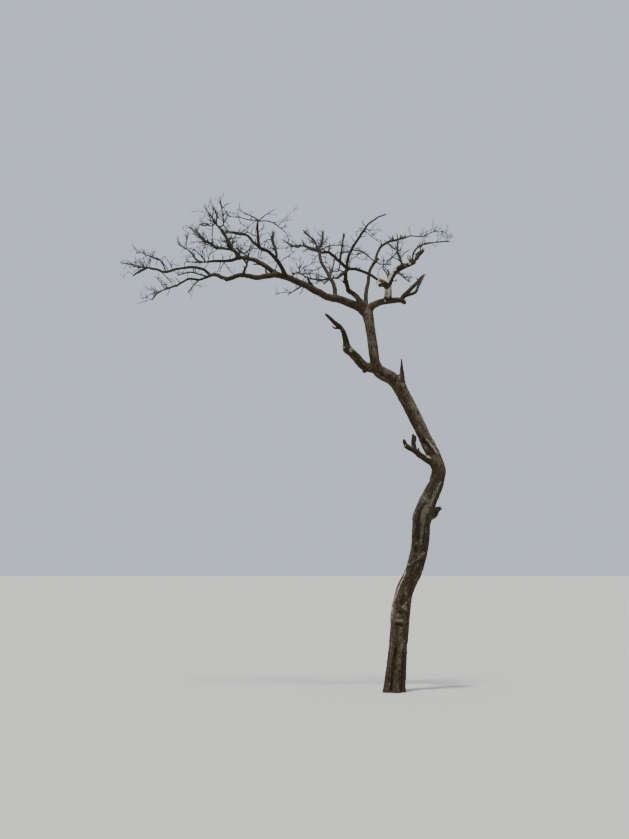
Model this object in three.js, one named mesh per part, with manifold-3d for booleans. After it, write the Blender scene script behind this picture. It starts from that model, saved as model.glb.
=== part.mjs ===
// A bare acacia of the open savanna: a tall trunk that winds up to a fork, a crown of crooked boughs swept
// to one side, snapped-off stubs, and masses of leafless twigs.
// Millimetres, +Z up. The origin is the middle of the flat cut under the trunk, at ground level, and the
// crown is swept towards -X.

import * as THREE from "three";
import { mergeVertices } from "three/addons/utils/BufferGeometryUtils.js";
import Module from "manifold-3d";

const wasm = await Module();
wasm.setup();

// How pieces meet and how finely they are faceted
const JOINT_GAP = 0.3;
const MOVED_OUT = 1.6;
const HALVINGS = 30;
const GROUND_BLOCK = 2000;
const TRUNK_MESH = { sides: 32, ringEvery: 80, tolerance: 7.4 };
const BOUGH_MESH = { thickSides: 8, thinSides: 6, thinUnder: 40, ringEvery: 330, ringsAStation: 2 };
const STEM_MESH = { sides: 4, ringEvery: 240 };
const TWIG_MESH = { sides: 3, rings: 2 };
const FEWEST_RINGS = 3;
const WELD = 1e-3;

// The trunk: a station is x, y, z and the radius there. It starts below the ground cut and ends in the fork.
const TRUNK = [
  [-15, 0, -150, 240],
  [40, 10, 480, 203],
  [210, 50, 1870, 180],
  [430, 60, 2440, 168],
  [560, 40, 2970, 177],
  [594, 0, 3480, 197],
  [722, -60, 3850, 189],
  [910, -110, 4270, 155],
  [925, -120, 4600, 142],
  [660, -40, 5220, 131],
  [300, 95, 6020, 135],
  [52, 140, 6420, 141],
  [-245, 130, 6610, 131],
  [-345, 105, 6860, 106],
  [-440, 60, 7500, 96],
  [-500, 50, 7810, 117],
  [-540, 50, 7930, 80],
];
const ROOT_FLARE = { lobes: 5, depth: 0.1, height: 420, turn: 0.6 };

// Sinews that wind up the trunk: how many go round it, the height of one winding, where they start, and
// their share of its radius
const SINEWS = [
  { lobes: 2, winding: 2900, start: 0.9, share: 0.03 },
  { lobes: 3, winding: -2300, start: 2.2, share: 0.032 },
  { lobes: 5, winding: 3700, start: 0.2, share: 0.024 },
  { lobes: 4, winding: -820, start: 4.1, share: 0.013 },
];

// Hollows in the trunk (deep above 0) and ridges on it (deep below 0). Each follows a route of heights and of
// degrees round the trunk, where -90 faces the camera and 0 faces right.
const FORMS = {
  long_hollow: { wide: 68, deep: 66, route: [[3600, -125], [3300, -122], [3080, -118]] },
  hollow_top: { wide: 42, deep: 38, route: [[3800, -106], [3690, -116]] },
  pale_strand: { wide: 30, deep: -24, route: [[4240, -66], [3860, -74], [3500, -83], [3000, -90]] },
  left_lip: { wide: 34, deep: -18, route: [[3640, -166], [3060, -168]] },
  low_hollow: { wide: 36, deep: 34, route: [[2910, -124], [2840, -116]] },
  crossing_strand: { wide: 26, deep: -22, route: [[2800, -58], [2660, -98], [2540, -146]] },
  long_furrow: { wide: 30, deep: 20, route: [[2420, -112], [2250, -104], [1900, -122]] },
  healed_knot: { wide: 52, deep: -34, route: [[1710, -82], [1690, -76]] },
  knot_upper_hollow: { wide: 34, deep: 28, route: [[1820, -108], [1780, -100]] },
  knot_lower_hollow: { wide: 32, deep: 26, route: [[1610, -112], [1580, -98]] },
  pale_lip: { wide: 32, deep: -26, route: [[1436, -120], [1428, -82]] },
  under_the_lip: { wide: 32, deep: 28, route: [[1366, -116], [1358, -96]] },
  left_bulge: { wide: 85, deep: -26, route: [[1760, -166], [1490, -164]] },
  middle_ridge: { wide: 38, deep: -18, route: [[1270, -84], [920, -72], [560, -80]] },
  middle_furrow: { wide: 28, deep: 20, route: [[1290, -112], [980, -98], [700, -106]] },
  base_cleft: { wide: 36, deep: 46, route: [[860, -104], [480, -110], [60, -114]] },
  root_fold_right: { wide: 38, deep: 24, route: [[720, -46], [40, -50]] },
  root_fold_side: { wide: 42, deep: 28, route: [[930, 4], [40, 0]] },
  root_fold_back_right: { wide: 40, deep: 30, route: [[720, 52], [40, 47]] },
  root_fold_back: { wide: 42, deep: 34, route: [[1000, 98], [40, 94]] },
  root_fold_back_left: { wide: 42, deep: 28, route: [[860, 150], [40, 146]] },
  root_fold_left: { wide: 38, deep: 24, route: [[700, 200], [40, 205]] },
  back_knot_low: { wide: 60, deep: -30, route: [[1030, 38], [1010, 44]] },
  side_hollow_low: { wide: 46, deep: 26, route: [[1640, 120], [1560, 122]] },
  side_split: { wide: 40, deep: 22, route: [[2240, 0], [1880, 8]] },
  back_bulge: { wide: 62, deep: -28, route: [[2620, 90], [2500, 96]] },
  back_furrow: { wide: 40, deep: 26, route: [[2760, 60], [2100, 78], [1500, 62]] },
  side_furrow: { wide: 34, deep: 20, route: [[4300, 8], [3500, -12], [2900, 6]] },
  left_hollow: { wide: 44, deep: 28, route: [[3420, 164], [3340, 166]] },
  back_split: { wide: 38, deep: 24, route: [[4350, 70], [3950, 58], [3600, 66]] },
  bend_knot: { wide: 52, deep: -24, route: [[4760, 110], [4700, 112]] },
  bend_furrow: { wide: 34, deep: 20, route: [[5750, 130], [5000, 152], [4300, 138]] },
  upper_split: { wide: 34, deep: 24, route: [[5110, -122], [4960, -100], [4830, -88]] },
  upper_strand: { wide: 26, deep: -16, route: [[5130, -88], [4960, -66], [4830, -54]] },
  upper_hollow: { wide: 36, deep: 20, route: [[5660, 30], [5600, 34]] },
};

// Each bough is one tapering limb. It grows on another limb, at a share of that limb's way from root to
// tip, so its root lies on that limb's centreline. Its radii are at the root and at the tip, and the route
// is the points that it then passes.
const BOUGHS = {
  dead_limb_lower: {
    on: "trunk",
    at: 0.77,
    radii: [104, 84],
    route: [[-530, 110, 6700], [-740, 50, 6890], [-960, -60, 7080]],
  },
  dead_limb_upper: {
    on: "dead_limb_lower",
    at: 0.97,
    radii: [78, 14],
    route: [[-975, -110, 7300], [-1100, -160, 7520], [-1390, -260, 7760]],
  },
  shoulder_spike: {
    on: "trunk",
    at: 0.655,
    radii: [120, 96, 46, 32, 10],
    route: [[180, 100, 6400], [207, 85, 6499], [218, 80, 6604], [219, 75, 6709], [211, 70, 6860]],
  },
  left_stub: {
    on: "trunk",
    at: 0.505,
    radii: [80, 50],
    route: [[755, -170, 4690], [585, -240, 4790], [425, -310, 4895], [236, -385, 4990]],
  },
  left_stub_horn: {
    on: "left_stub",
    at: 0.95,
    radii: [46, 22],
    route: [[226, -390, 5045], [229, -395, 5105]],
  },
  left_stub_spike: {
    on: "left_stub",
    at: 0.74,
    radii: [56, 44, 24],
    route: [[422, -310, 5025], [414, -310, 5130], [403, -310, 5235]],
  },
  right_stub: {
    on: "trunk",
    at: 0.335,
    radii: [120, 84, 38],
    route: [[814, 30, 3600], [912, 64, 3690], [1002, 92, 3735]],
  },
  left_bough: {
    on: "trunk",
    at: 0.945,
    radii: [92, 33],
    route: [[-740, 0, 7975], [-1080, -100, 8095], [-1350, -165, 8145], [-1710, -250, 8310],
      [-2080, -320, 8470],
      [-2410, -360, 8555], [-2800, -380, 8500], [-3150, -355, 8555], [-3440, -320, 8480],
      [-3670, -280, 8580],
      [-3850, -240, 8560]],
  },
  left_lower_bough: {
    on: "left_bough",
    at: 0.975,
    radii: [27, 20],
    route: [[-4000, -300, 8470], [-4200, -420, 8460], [-4370, -520, 8350], [-4480, -605, 8245]],
  },
  left_tip_bough: {
    on: "left_bough",
    at: 0.965,
    radii: [31, 24],
    route: [[-3960, -200, 8720], [-4190, -120, 8780], [-4490, -40, 8770], [-4750, 40, 8715],
      [-4950, 100, 8780],
      [-5170, 165, 8840]],
  },
  left_upper_bough: {
    on: "left_bough",
    at: 0.53,
    radii: [54, 24],
    route: [[-2580, -260, 8730], [-2800, -120, 8900], [-3060, 40, 9010], [-3250, 120, 9035],
      [-3410, 200, 9000],
      [-3680, 340, 9030], [-3980, 505, 9045]],
  },
  left_crown_bough: {
    on: "left_upper_bough",
    at: 0.56,
    radii: [42, 28],
    route: [[-3280, 100, 9150], [-3410, 40, 9250], [-3460, 0, 9400], [-3600, -50, 9650]],
  },
  perch_bough: {
    on: "left_bough",
    at: 0.484,
    radii: [46, 32],
    route: [[-2310, -500, 8710], [-2390, -620, 8820], [-2550, -780, 8930], [-2760, -960, 8995]],
  },
  perch_stem: {
    on: "perch_bough",
    at: 0.98,
    radii: [28, 24],
    route: [[-2765, -1000, 9190], [-2770, -1050, 9500]],
  },
  perch_left_bough: {
    on: "perch_bough",
    at: 0.97,
    radii: [32, 24],
    route: [[-2870, -860, 9130], [-2980, -780, 9270], [-3120, -720, 9340], [-3310, -660, 9390]],
  },
  front_bough: {
    on: "left_bough",
    at: 0.712,
    radii: [27, 18],
    route: [[-3062, -450, 8655], [-3028, -570, 8769], [-3295, -1090, 8954]],
  },
  back_bough: {
    on: "left_upper_bough",
    at: 0.275,
    radii: [36, 22],
    route: [[-2850, 260, 9000], [-2960, 640, 9120], [-3130, 980, 9330]],
  },
  rising_bough: {
    on: "left_bough",
    at: 0.215,
    radii: [42, 33],
    route: [[-1190, 0, 8360], [-1230, 120, 8520], [-1300, 225, 8630]],
  },
  rising_top_bough: {
    on: "rising_bough",
    at: 0.92,
    radii: [32, 29],
    route: [[-1340, 360, 8790], [-1440, 510, 8980], [-1490, 660, 9170], [-1500, 800, 9360]],
  },
  middle_bough: {
    on: "trunk",
    at: 0.985,
    radii: [62, 34],
    route: [[-660, -40, 8090], [-790, -180, 8190], [-915, -320, 8280], [-970, -460, 8550],
      [-930, -500, 8660]],
  },
  middle_top_bough: {
    on: "middle_bough",
    at: 0.98,
    radii: [31, 24],
    route: [[-925, -570, 8830], [-860, -620, 9000], [-640, -735, 9335], [-580, -765, 9400]],
  },
  middle_left_bough: {
    on: "middle_bough",
    at: 0.985,
    radii: [33, 30],
    route: [[-1080, -640, 8750], [-1230, -800, 8855], [-1330, -900, 8900], [-1490, -1045, 8850]],
  },
  middle_right_bough: {
    on: "middle_bough",
    at: 0.975,
    radii: [32, 28],
    route: [[-770, -460, 8655], [-580, -420, 8600], [-440, -380, 8550], [-300, -340, 8450]],
  },
  centre_bough: {
    on: "trunk",
    at: 0.99,
    radii: [46, 31],
    route: [[-520, 220, 8260], [-470, 380, 8560], [-420, 520, 8860], [-250, 705, 9200]],
  },
  centre_top_bough: {
    on: "centre_bough",
    at: 0.94,
    radii: [28, 26],
    route: [[-250, 760, 9300], [-140, 880, 9500], [30, 1000, 9630], [230, 1140, 9710], [420, 1265, 9800]],
  },
  right_bough: {
    on: "trunk",
    at: 0.95,
    radii: [88, 46],
    route: [[-400, 80, 7990], [-210, 100, 8080], [10, 120, 8120], [180, 140, 8130], [300, 160, 8105]],
  },
  right_upright_bough: {
    on: "right_bough",
    at: 0.53,
    radii: [78, 68, 58, 50, 36],
    route: [[-60, 40, 8260], [-60, -20, 8420], [0, -100, 8560], [120, -200, 8690], [250, -320, 8740],
      [410, -460, 8780],
      [475, -520, 8840]],
  },
  right_pale_stub: {
    on: "right_upright_bough",
    at: 0.26,
    radii: [78, 74],
    route: [[-140, -80, 8445], [-240, -130, 8475]],
  },
  right_top_stub: {
    on: "right_upright_bough",
    at: 0.86,
    radii: [32, 24],
    route: [[510, -400, 8890], [610, -300, 9050], [680, -250, 9150]],
  },
  right_low_bough: {
    on: "right_bough",
    at: 0.83,
    radii: [44, 34, 20],
    route: [[350, 260, 8320], [500, 360, 8480], [620, 450, 8620], [760, 600, 8800]],
  },
  right_low_fork: {
    on: "right_low_bough",
    at: 0.12,
    radii: [28, 20],
    route: [[500, 50, 8275], [600, 180, 8450], [735, 480, 8740]],
  },
};

// Each mass of twigs has a stem, which grows on a bough, and leaders, which grow on the stem or on an
// earlier leader, told by its place in the list. Twigs is the share of the rule's twigs that a line bears.
const MASSES = {
  left_lower_twigs: {
    seed: 11,
    lines: [
      {
        on: "left_lower_bough", at: 0.92, radii: [15, 6], twigs: 1,
        route: [[-4680, -700, 8170], [-4810, -780, 8080], [-4930, -860, 7920]],
      },
      { on: 0, at: 0.6, radii: [8, 3], twigs: 0.7, route: [[-4950, -700, 8080], [-5130, -640, 7990]] },
    ],
  },
  left_tip_twigs: {
    seed: 12,
    lines: [
      {
        on: "left_tip_bough", at: 0.97, radii: [16, 4], twigs: 1,
        route: [[-5270, 200, 8860], [-5440, 260, 8920], [-5780, 400, 9010]],
      },
      { on: 0, at: 0.16, radii: [14, 11], twigs: 0.4, route: [[-5330, 90, 8740], [-5440, 0, 8625]] },
      { on: 0, at: 0.2, radii: [9, 4], twigs: 0.6, route: [[-5310, 300, 8970], [-5380, 400, 9080]] },
      { on: 0, at: 0.13, radii: [9, 4], twigs: 0.5, route: [[-5120, 80, 8970], [-5060, -20, 9110]] },
    ],
  },
  left_fan_twigs: {
    seed: 13,
    lines: [
      {
        on: "left_tip_bough", at: 0.665, radii: [14, 5], twigs: 1,
        route: [[-4900, 200, 9010], [-5140, 340, 9130], [-5350, 460, 9250], [-5470, 550, 9250]],
      },
    ],
  },
  left_hook_twigs: {
    seed: 14,
    lines: [
      {
        on: "left_lower_bough", at: 0.06, radii: [15, 10], twigs: 0.7,
        route: [[-3990, -400, 8560], [-4180, -580, 8560], [-4410, -760, 8460]],
      },
    ],
  },
  left_drop_twigs: {
    seed: 15,
    lines: [
      {
        on: "left_lower_bough", at: 0.25, radii: [13, 8], twigs: 0.6,
        route: [[-4090, -400, 8370], [-4160, -500, 8230], [-4220, -560, 8140]],
      },
    ],
  },
  left_upper_twigs: {
    seed: 16,
    lines: [
      {
        on: "left_upper_bough", at: 0.985, radii: [15, 6], twigs: 1,
        route: [[-4120, 590, 9060], [-4310, 680, 9090]],
      },
      {
        on: 0, at: 0.2, radii: [13, 6], twigs: 0.8,
        route: [[-4150, 620, 9130], [-4250, 740, 9280], [-4420, 860, 9430], [-4610, 1000, 9560]],
      },
      { on: 1, at: 0.72, radii: [8, 4], twigs: 0.5, route: [[-4420, 930, 9600], [-4370, 1000, 9840]] },
    ],
  },
  left_crown_twigs: {
    seed: 17,
    lines: [
      {
        on: "left_crown_bough", at: 0.95, radii: [18, 7], twigs: 1,
        route: [[-3730, -140, 9770], [-3800, -220, 9870], [-3890, -300, 9980]],
      },
      {
        on: 0, at: 0.12, radii: [14, 5], twigs: 0.8,
        route: [[-3545, 60, 9760], [-3570, 180, 9970], [-3610, 220, 10180], [-3640, 260, 10340]],
      },
      {
        on: 0, at: 0.25, radii: [12, 7], twigs: 1,
        route: [[-3810, 120, 9730], [-3960, 280, 9830], [-4090, 400, 9850]],
      },
      { on: 0, at: 0.22, radii: [11, 5], twigs: 0.8, route: [[-3670, -300, 9830], [-3710, -450, 9940]] },
    ],
  },
  left_side_twigs: {
    seed: 18,
    lines: [
      {
        on: "left_crown_bough", at: 0.37, radii: [20, 9], twigs: 1,
        route: [[-3590, 180, 9270], [-3760, 290, 9340], [-3940, 420, 9470], [-4090, 520, 9610],
          [-4320, 650, 9850]],
      },
      { on: 0, at: 0.55, radii: [11, 6], twigs: 0.8, route: [[-4060, 310, 9445], [-4210, 250, 9420]] },
      { on: 0, at: 0.63, radii: [10, 5], twigs: 0.7, route: [[-4100, 600, 9690], [-4220, 700, 9780]] },
    ],
  },
  perch_twigs: {
    seed: 19,
    lines: [
      {
        on: "perch_stem", at: 0.95, radii: [15, 5], twigs: 0.5,
        route: [[-2790, -1055, 9550], [-2970, -1000, 9660], [-3180, -900, 9810]],
      },
      { on: 0, at: 0.2, radii: [11, 5], twigs: 0.5, route: [[-2600, -1030, 9650], [-2420, -1080, 9750]] },
      {
        on: 0, at: 0.18, radii: [11, 4], twigs: 0.6,
        route: [[-2500, -1000, 9510], [-2360, -960, 9430], [-2260, -900, 9360], [-2160, -840, 9250],
          [-2150, -800, 9140]],
      },
      {
        on: 0, at: 0.25, radii: [10, 5], twigs: 0.7,
        route: [[-2920, -1140, 9510], [-3120, -1250, 9530], [-3300, -1300, 9540], [-3400, -1360, 9620]],
      },
      { on: 2, at: 0.4, radii: [7, 3], twigs: 0.5, route: [[-2260, -1050, 9520], [-2120, -1150, 9620]] },
    ],
  },
  perch_side_twigs: {
    seed: 20,
    lines: [
      {
        on: "perch_bough", at: 0.49, radii: [18, 8], twigs: 1,
        route: [[-2410, -720, 8960], [-2450, -820, 9130], [-2470, -930, 9310]],
      },
    ],
  },
  perch_left_twigs: {
    seed: 21,
    lines: [
      {
        on: "perch_left_bough", at: 0.96, radii: [15, 7], twigs: 1,
        route: [[-3380, -630, 9410], [-3500, -590, 9460]],
      },
    ],
  },
  front_twigs: {
    seed: 40,
    lines: [
      {
        on: "front_bough", at: 0.95, radii: [15, 6], twigs: 1,
        route: [[-3345, -1210, 9030], [-3490, -1360, 9205]],
      },
      { on: 0, at: 0.22, radii: [12, 5], twigs: 1, route: [[-3262, -1220, 9060], [-3150, -1380, 9200]] },
    ],
  },
  back_twigs: {
    seed: 41,
    lines: [
      {
        on: "back_bough", at: 0.95, radii: [16, 6], twigs: 1,
        route: [[-3260, 1150, 9460], [-3450, 1330, 9600]],
      },
      { on: 0, at: 0.2, radii: [12, 5], twigs: 1, route: [[-3040, 1200, 9490], [-2860, 1430, 9600]] },
    ],
  },
  rising_twigs: {
    seed: 22,
    lines: [
      {
        on: "rising_top_bough", at: 0.97, radii: [21, 9], twigs: 1,
        route: [[-1640, 900, 9420], [-1880, 1080, 9550], [-2020, 1180, 9550], [-2310, 1380, 9760]],
      },
      {
        on: 0, at: 0.09, radii: [15, 6], twigs: 0.5,
        route: [[-1560, 820, 9500], [-1690, 860, 9670], [-1840, 950, 9830]],
      },
      { on: 0, at: 0.07, radii: [13, 6], twigs: 0.7, route: [[-1450, 750, 9550], [-1420, 700, 9740]] },
      {
        on: 0, at: 0.05, radii: [10, 4], twigs: 0.4,
        route: [[-1300, 700, 9450], [-1070, 600, 9440], [-880, 500, 9400], [-630, 400, 9290]],
      },
    ],
  },
  rising_low_twigs: {
    seed: 23,
    lines: [
      {
        on: "rising_bough", at: 0.95, radii: [20, 9], twigs: 1,
        route: [[-1490, 400, 8630], [-1750, 580, 8720], [-1960, 760, 8870], [-2080, 880, 8840]],
      },
    ],
  },
  middle_top_twigs: {
    seed: 25,
    lines: [
      {
        on: "middle_top_bough", at: 0.95, radii: [18, 11], twigs: 0,
        route: [[-520, -860, 9490], [-340, -1000, 9580], [-160, -1140, 9630]],
      },
      { on: 0, at: 0.12, radii: [8, 3], twigs: 0.6, route: [[-480, -690, 9400], [-300, -600, 9240]] },
      { on: 0, at: 0.1, radii: [8, 4], twigs: 0, route: [[-640, -790, 9440], [-690, -780, 9450]] },
    ],
  },
  middle_arc_twigs: {
    seed: 42,
    lines: [
      {
        on: "middle_top_bough", at: 0.52, radii: [13, 5], twigs: 0.7,
        route: [[-610, -500, 9000], [-390, -300, 8890], [-200, -190, 8815], [0, -130, 8835]],
      },
    ],
  },
  middle_left_twigs: {
    seed: 26,
    lines: [
      {
        on: "middle_left_bough", at: 0.95, radii: [19, 8], twigs: 1,
        route: [[-1570, -1100, 8900], [-1600, -1160, 9060], [-1850, -1300, 9260]],
      },
      { on: 0, at: 0.2, radii: [13, 6], twigs: 0.7, route: [[-1470, -1050, 9100], [-1440, -1020, 9340]] },
    ],
  },
  middle_spire: {
    seed: 27,
    lines: [
      {
        on: "middle_left_bough", at: 0.27, radii: [19, 11], twigs: 0,
        route: [[-1075, -690, 8900], [-1045, -720, 9060], [-1010, -750, 9330]],
      },
      {
        on: 0, at: 0.36, radii: [8, 3], twigs: 0.6,
        route: [[-980, -730, 8960], [-830, -690, 8900], [-610, -560, 8970]],
      },
    ],
  },
  middle_low_twigs: {
    seed: 28,
    lines: [
      {
        on: "middle_bough", at: 0.955, radii: [22, 11], twigs: 0.8,
        route: [[-1050, -620, 8520], [-1150, -740, 8410], [-1250, -840, 8360]],
      },
    ],
  },
  centre_top_twigs: {
    seed: 30,
    lines: [
      {
        on: "centre_top_bough", at: 0.97, radii: [13, 4], twigs: 1,
        route: [[560, 1360, 9850], [820, 1500, 9880], [1010, 1600, 10000], [1250, 1740, 10060],
          [1500, 1890, 9980]],
      },
      { on: 0, at: 0.81, radii: [7, 3], twigs: 0.6, route: [[1330, 1700, 9900], [1480, 1640, 9880]] },
    ],
  },
  centre_side_twigs: {
    seed: 31,
    lines: [
      {
        on: "centre_top_bough", at: 0.54, radii: [15, 8], twigs: 0.8,
        route: [[130, 900, 9450], [260, 800, 9360]],
      },
    ],
  },
  right_top_twigs: {
    seed: 32,
    lines: [
      {
        on: "right_upright_bough", at: 0.88, radii: [15, 8], twigs: 0.3,
        route: [[440, -560, 8980], [560, -700, 9080], [760, -920, 9085], [1110, -1250, 9040]],
      },
    ],
  },
  right_rise_twigs: {
    seed: 34,
    lines: [
      {
        on: "right_upright_bough", at: 0.68, radii: [19, 9], twigs: 0.8,
        route: [[190, -260, 8920], [140, -220, 9100], [130, -160, 9340]],
      },
    ],
  },
  right_side_twigs: {
    seed: 35,
    lines: [
      {
        on: "right_upright_bough", at: 0.54, radii: [12, 7], twigs: 0.8,
        route: [[230, -360, 8550], [280, -500, 8430], [350, -620, 8360]],
      },
    ],
  },
  right_cross_twigs: {
    seed: 36,
    lines: [
      {
        on: "right_upright_bough", at: 0.36, radii: [15, 6], twigs: 0.8,
        route: [[-80, 90, 8690], [-160, 200, 8860], [-40, 300, 9020], [170, 480, 9260]],
      },
    ],
  },
  under_twigs: {
    seed: 38,
    lines: [
      {
        on: "left_bough", at: 0.396, radii: [17, 7], twigs: 0.8,
        route: [[-1980, -400, 8250], [-2060, -480, 8170], [-2160, -570, 8090]],
      },
    ],
  },
  bridge_twigs: {
    seed: 39,
    lines: [
      {
        on: "front_bough", at: 0.64, radii: [13, 7], twigs: 0.8,
        route: [[-2975, -600, 8870], [-2950, -610, 8960]],
      },
    ],
  },
};

// The rule that twigs branch by, the first number of a pair for twigs on a stem or leader and the second
// for twigs on those. Lengths are in millimetres, angles in degrees, and the rest are shares.
const TWIG = {
  levels: 2,
  spacing: [135, 150],
  length: [290, 150],
  nextShare: 0.56,
  shortest: 0.6,
  lengthSpread: 0.7,
  shorterToTip: 0.5,
  angle: 52,
  angleSpread: 18,
  turn: 137.5,
  turnSpread: 50,
  lift: 0.4,
  kink: 0.5,
  thickness: 0.6,
  tip: 1.6,
  firstAt: 0.14,
  lowest: -0.4,
};

// A twig keeps this far from the limbs, and this much nearer its own mass's lines than any other's,
// at these shares of its way.
const LIMB_CLEAR = 14;
const OWN_SPACE = 16;
const TESTED_AT = [0.35, 0.7, 1];
const BEAD_EVERY = 60;

const BARK = new THREE.MeshStandardMaterial({ color: 0x5d4e3d, roughness: 0.95, metalness: 0 });
const TWIG_WOOD = new THREE.MeshStandardMaterial({ color: 0x463f38, roughness: 0.95, metalness: 0 });

const UP = new THREE.Vector3(0, 0, 1);
const SIDEWAYS = new THREE.Vector3(1, 0, 0);
const STEEP = 0.9;
const vector = (p) => new THREE.Vector3(p[0], p[1], p[2]);
const radians = THREE.MathUtils.degToRad;

// A small random source that gives the same draws each time for the same seed
function dice(seed) {
  let state = (seed * 7919 + 17) % 2147483647;
  const draw = () => {
    state = (state * 16807) % 2147483647;
    return state / 2147483647;
  };
  draw();
  draw();
  return draw;
}

// A limb's line: a curve through its points, and a radius that tapers along it
function taperedLine(points, radii) {
  const curve = new THREE.CatmullRomCurve3(points.map(vector), false, "catmullrom", 0.5);
  const radius = (t) => {
    const s = t * (radii.length - 1);
    const i = Math.min(Math.floor(s), radii.length - 2);
    return THREE.MathUtils.lerp(radii[i], radii[i + 1], s - i);
  };
  return { curve, radius };
}

// A limb that grows at a share of its bearer's way
function grownLine(bearer, { at, radii, route }) {
  return taperedLine([bearer.curve.getPoint(at).toArray(), ...route], radii);
}

const ringsFor = (line, spacing) => Math.max(FEWEST_RINGS, Math.round(line.curve.getLength() / spacing));

// The corners of one ring of a tube: middle and the two directions across, at a share t of the line
function ring(line, t, middle, normal, binormal, sides, extra, rise) {
  const corners = [];
  for (let k = 0; k < sides; k++) {
    const angle = (2 * Math.PI * k) / sides;
    const out = normal.clone().multiplyScalar(Math.cos(angle)).addScaledVector(binormal, Math.sin(angle));
    const corner = middle.clone().addScaledVector(out, line.radius(t));
    corner.addScaledVector(out, rise(corner, out, line.radius(t)) + extra);
    corners.push(...corner.toArray());
  }
  return corners;
}

// A closed tube along a line. rise(point, out, radius) lifts its surface at a point, and extra widens and
// lengthens it all round. A pointed tube ends in a point in place of its last ring.
function tube(line, sides, rings, { extra = 0, pointed = false, rise = () => 0 } = {}) {
  const frames = line.curve.computeFrenetFrames(rings, false);
  const positions = [];
  const index = [];
  const last = pointed ? rings - 1 : rings;
  for (let i = 0; i <= last; i++) {
    const t = line.curve.getUtoTmapping(i / rings);
    const middle = line.curve.getPoint(t);
    if (i === 0) middle.addScaledVector(frames.tangents[0], -extra);
    if (i === rings) middle.addScaledVector(frames.tangents[rings], extra);
    positions.push(...ring(line, t, middle, frames.normals[i], frames.binormals[i], sides, extra, rise));
  }
  for (let i = 0; i < last; i++) {
    for (let k = 0; k < sides; k++) {
      const a = i * sides + k;
      const b = i * sides + ((k + 1) % sides);
      index.push(a, b, a + sides, b, b + sides, a + sides);
    }
  }
  for (let k = 1; k < sides - 1; k++) index.push(0, k + 1, k);
  const rim = last * sides;
  if (pointed) {
    const apex = positions.length / 3;
    positions.push(...line.curve.getPoint(1).toArray());
    for (let k = 0; k < sides; k++) index.push(rim + k, rim + ((k + 1) % sides), apex);
  } else {
    for (let k = 1; k < sides - 1; k++) index.push(rim, rim + k, rim + k + 1);
  }
  const geometry = new THREE.BufferGeometry();
  geometry.setAttribute("position", new THREE.Float32BufferAttribute(positions, 3));
  geometry.setIndex(index);
  return geometry;
}

function solidOf(geometry) {
  const bare = geometry.clone();
  bare.deleteAttribute("normal");
  bare.deleteAttribute("uv");
  const merged = mergeVertices(bare, WELD);
  return new wasm.Manifold(
    new wasm.Mesh({
      numProp: 3,
      vertProperties: merged.attributes.position.array,
      triVerts: new Uint32Array(merged.index.array),
    }),
  );
}

function geometryOf(solid) {
  const mesh = solid.getMesh();
  const geometry = new THREE.BufferGeometry();
  geometry.setAttribute("position", new THREE.Float32BufferAttribute(mesh.vertProperties, 3));
  geometry.setIndex(new THREE.BufferAttribute(mesh.triVerts, 1));
  geometry.computeVertexNormals();
  return geometry;
}

// A solid cut clear of others. Only its largest body stays, so what pokes out on a limb's far side goes.
function cutClear(solid, others) {
  const rest = others.reduce((a, b) => a.subtract(b), solid);
  return rest.decompose().reduce((a, b) => (b.volume() > a.volume() ? b : a));
}

// A form's route as points: out from the trunk's middle at each height, on the side that it faces
function routeOnTrunk(line, route) {
  return route.map(([height, facing]) => {
    const share = shareAtHeight(line, height);
    const out = new THREE.Vector3(Math.cos(radians(facing)), Math.sin(radians(facing)), 0);
    return line.curve.getPoint(share).addScaledVector(out, line.radius(share));
  });
}

// The share of the way where a line is at a height, found by halving, as the trunk only ever climbs
function shareAtHeight(line, height) {
  let low = 0;
  let high = 1;
  for (let i = 0; i < HALVINGS; i++) {
    const middle = (low + high) / 2;
    if (line.curve.getPoint(middle).z < height) low = middle;
    else high = middle;
  }
  return low;
}

function distanceToRoute(point, points) {
  const near = new THREE.Vector3();
  const distances = points
    .slice(1)
    .map((end, i) => new THREE.Line3(points[i], end).closestPointToPoint(point, true, near).distanceTo(point));
  return Math.min(...distances);
}

// How far the trunk's surface stands over its plain tube: root flare, sinews, hollows and ridges
function trunkRise(line) {
  const forms = Object.values(FORMS).map(({ wide, deep, route }) => ({ wide, deep, points: routeOnTrunk(line, route) }));
  return (point, out, radius) => {
    const facing = Math.atan2(out.y, out.x);
    const low = Math.exp(-Math.max(point.z, 0) / ROOT_FLARE.height);
    let share = ROOT_FLARE.depth * low * Math.cos(ROOT_FLARE.lobes * facing + ROOT_FLARE.turn);
    for (const { lobes, winding, start, share: size } of SINEWS) {
      share += size * Math.cos(lobes * facing + (2 * Math.PI * point.z) / winding + start);
    }
    const sunk = forms.reduce((sum, { wide, deep, points }) => {
      const away = distanceToRoute(point, points) / wide;
      return sum + deep * Math.exp(-away * away);
    }, 0);
    return radius * share - sunk;
  };
}

// The trunk, with fewer faces where it is plain
function trunkSolid(line) {
  const rings = ringsFor(line, TRUNK_MESH.ringEvery);
  return solidOf(tube(line, TRUNK_MESH.sides, rings, { rise: trunkRise(line) })).simplify(TRUNK_MESH.tolerance);
}

// The same solid with each face moved out a little
function movedOut(solid, by) {
  const geometry = geometryOf(solid);
  const { position, normal } = geometry.attributes;
  for (let i = 0; i < position.count; i++) {
    position.setXYZ(
      i,
      position.getX(i) + by * normal.getX(i),
      position.getY(i) + by * normal.getY(i),
      position.getZ(i) + by * normal.getZ(i),
    );
  }
  return solidOf(geometry);
}

function groundBlock() {
  const block = new THREE.BoxGeometry(GROUND_BLOCK, GROUND_BLOCK, GROUND_BLOCK);
  return solidOf(block.translate(0, 0, -GROUND_BLOCK / 2));
}

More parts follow.
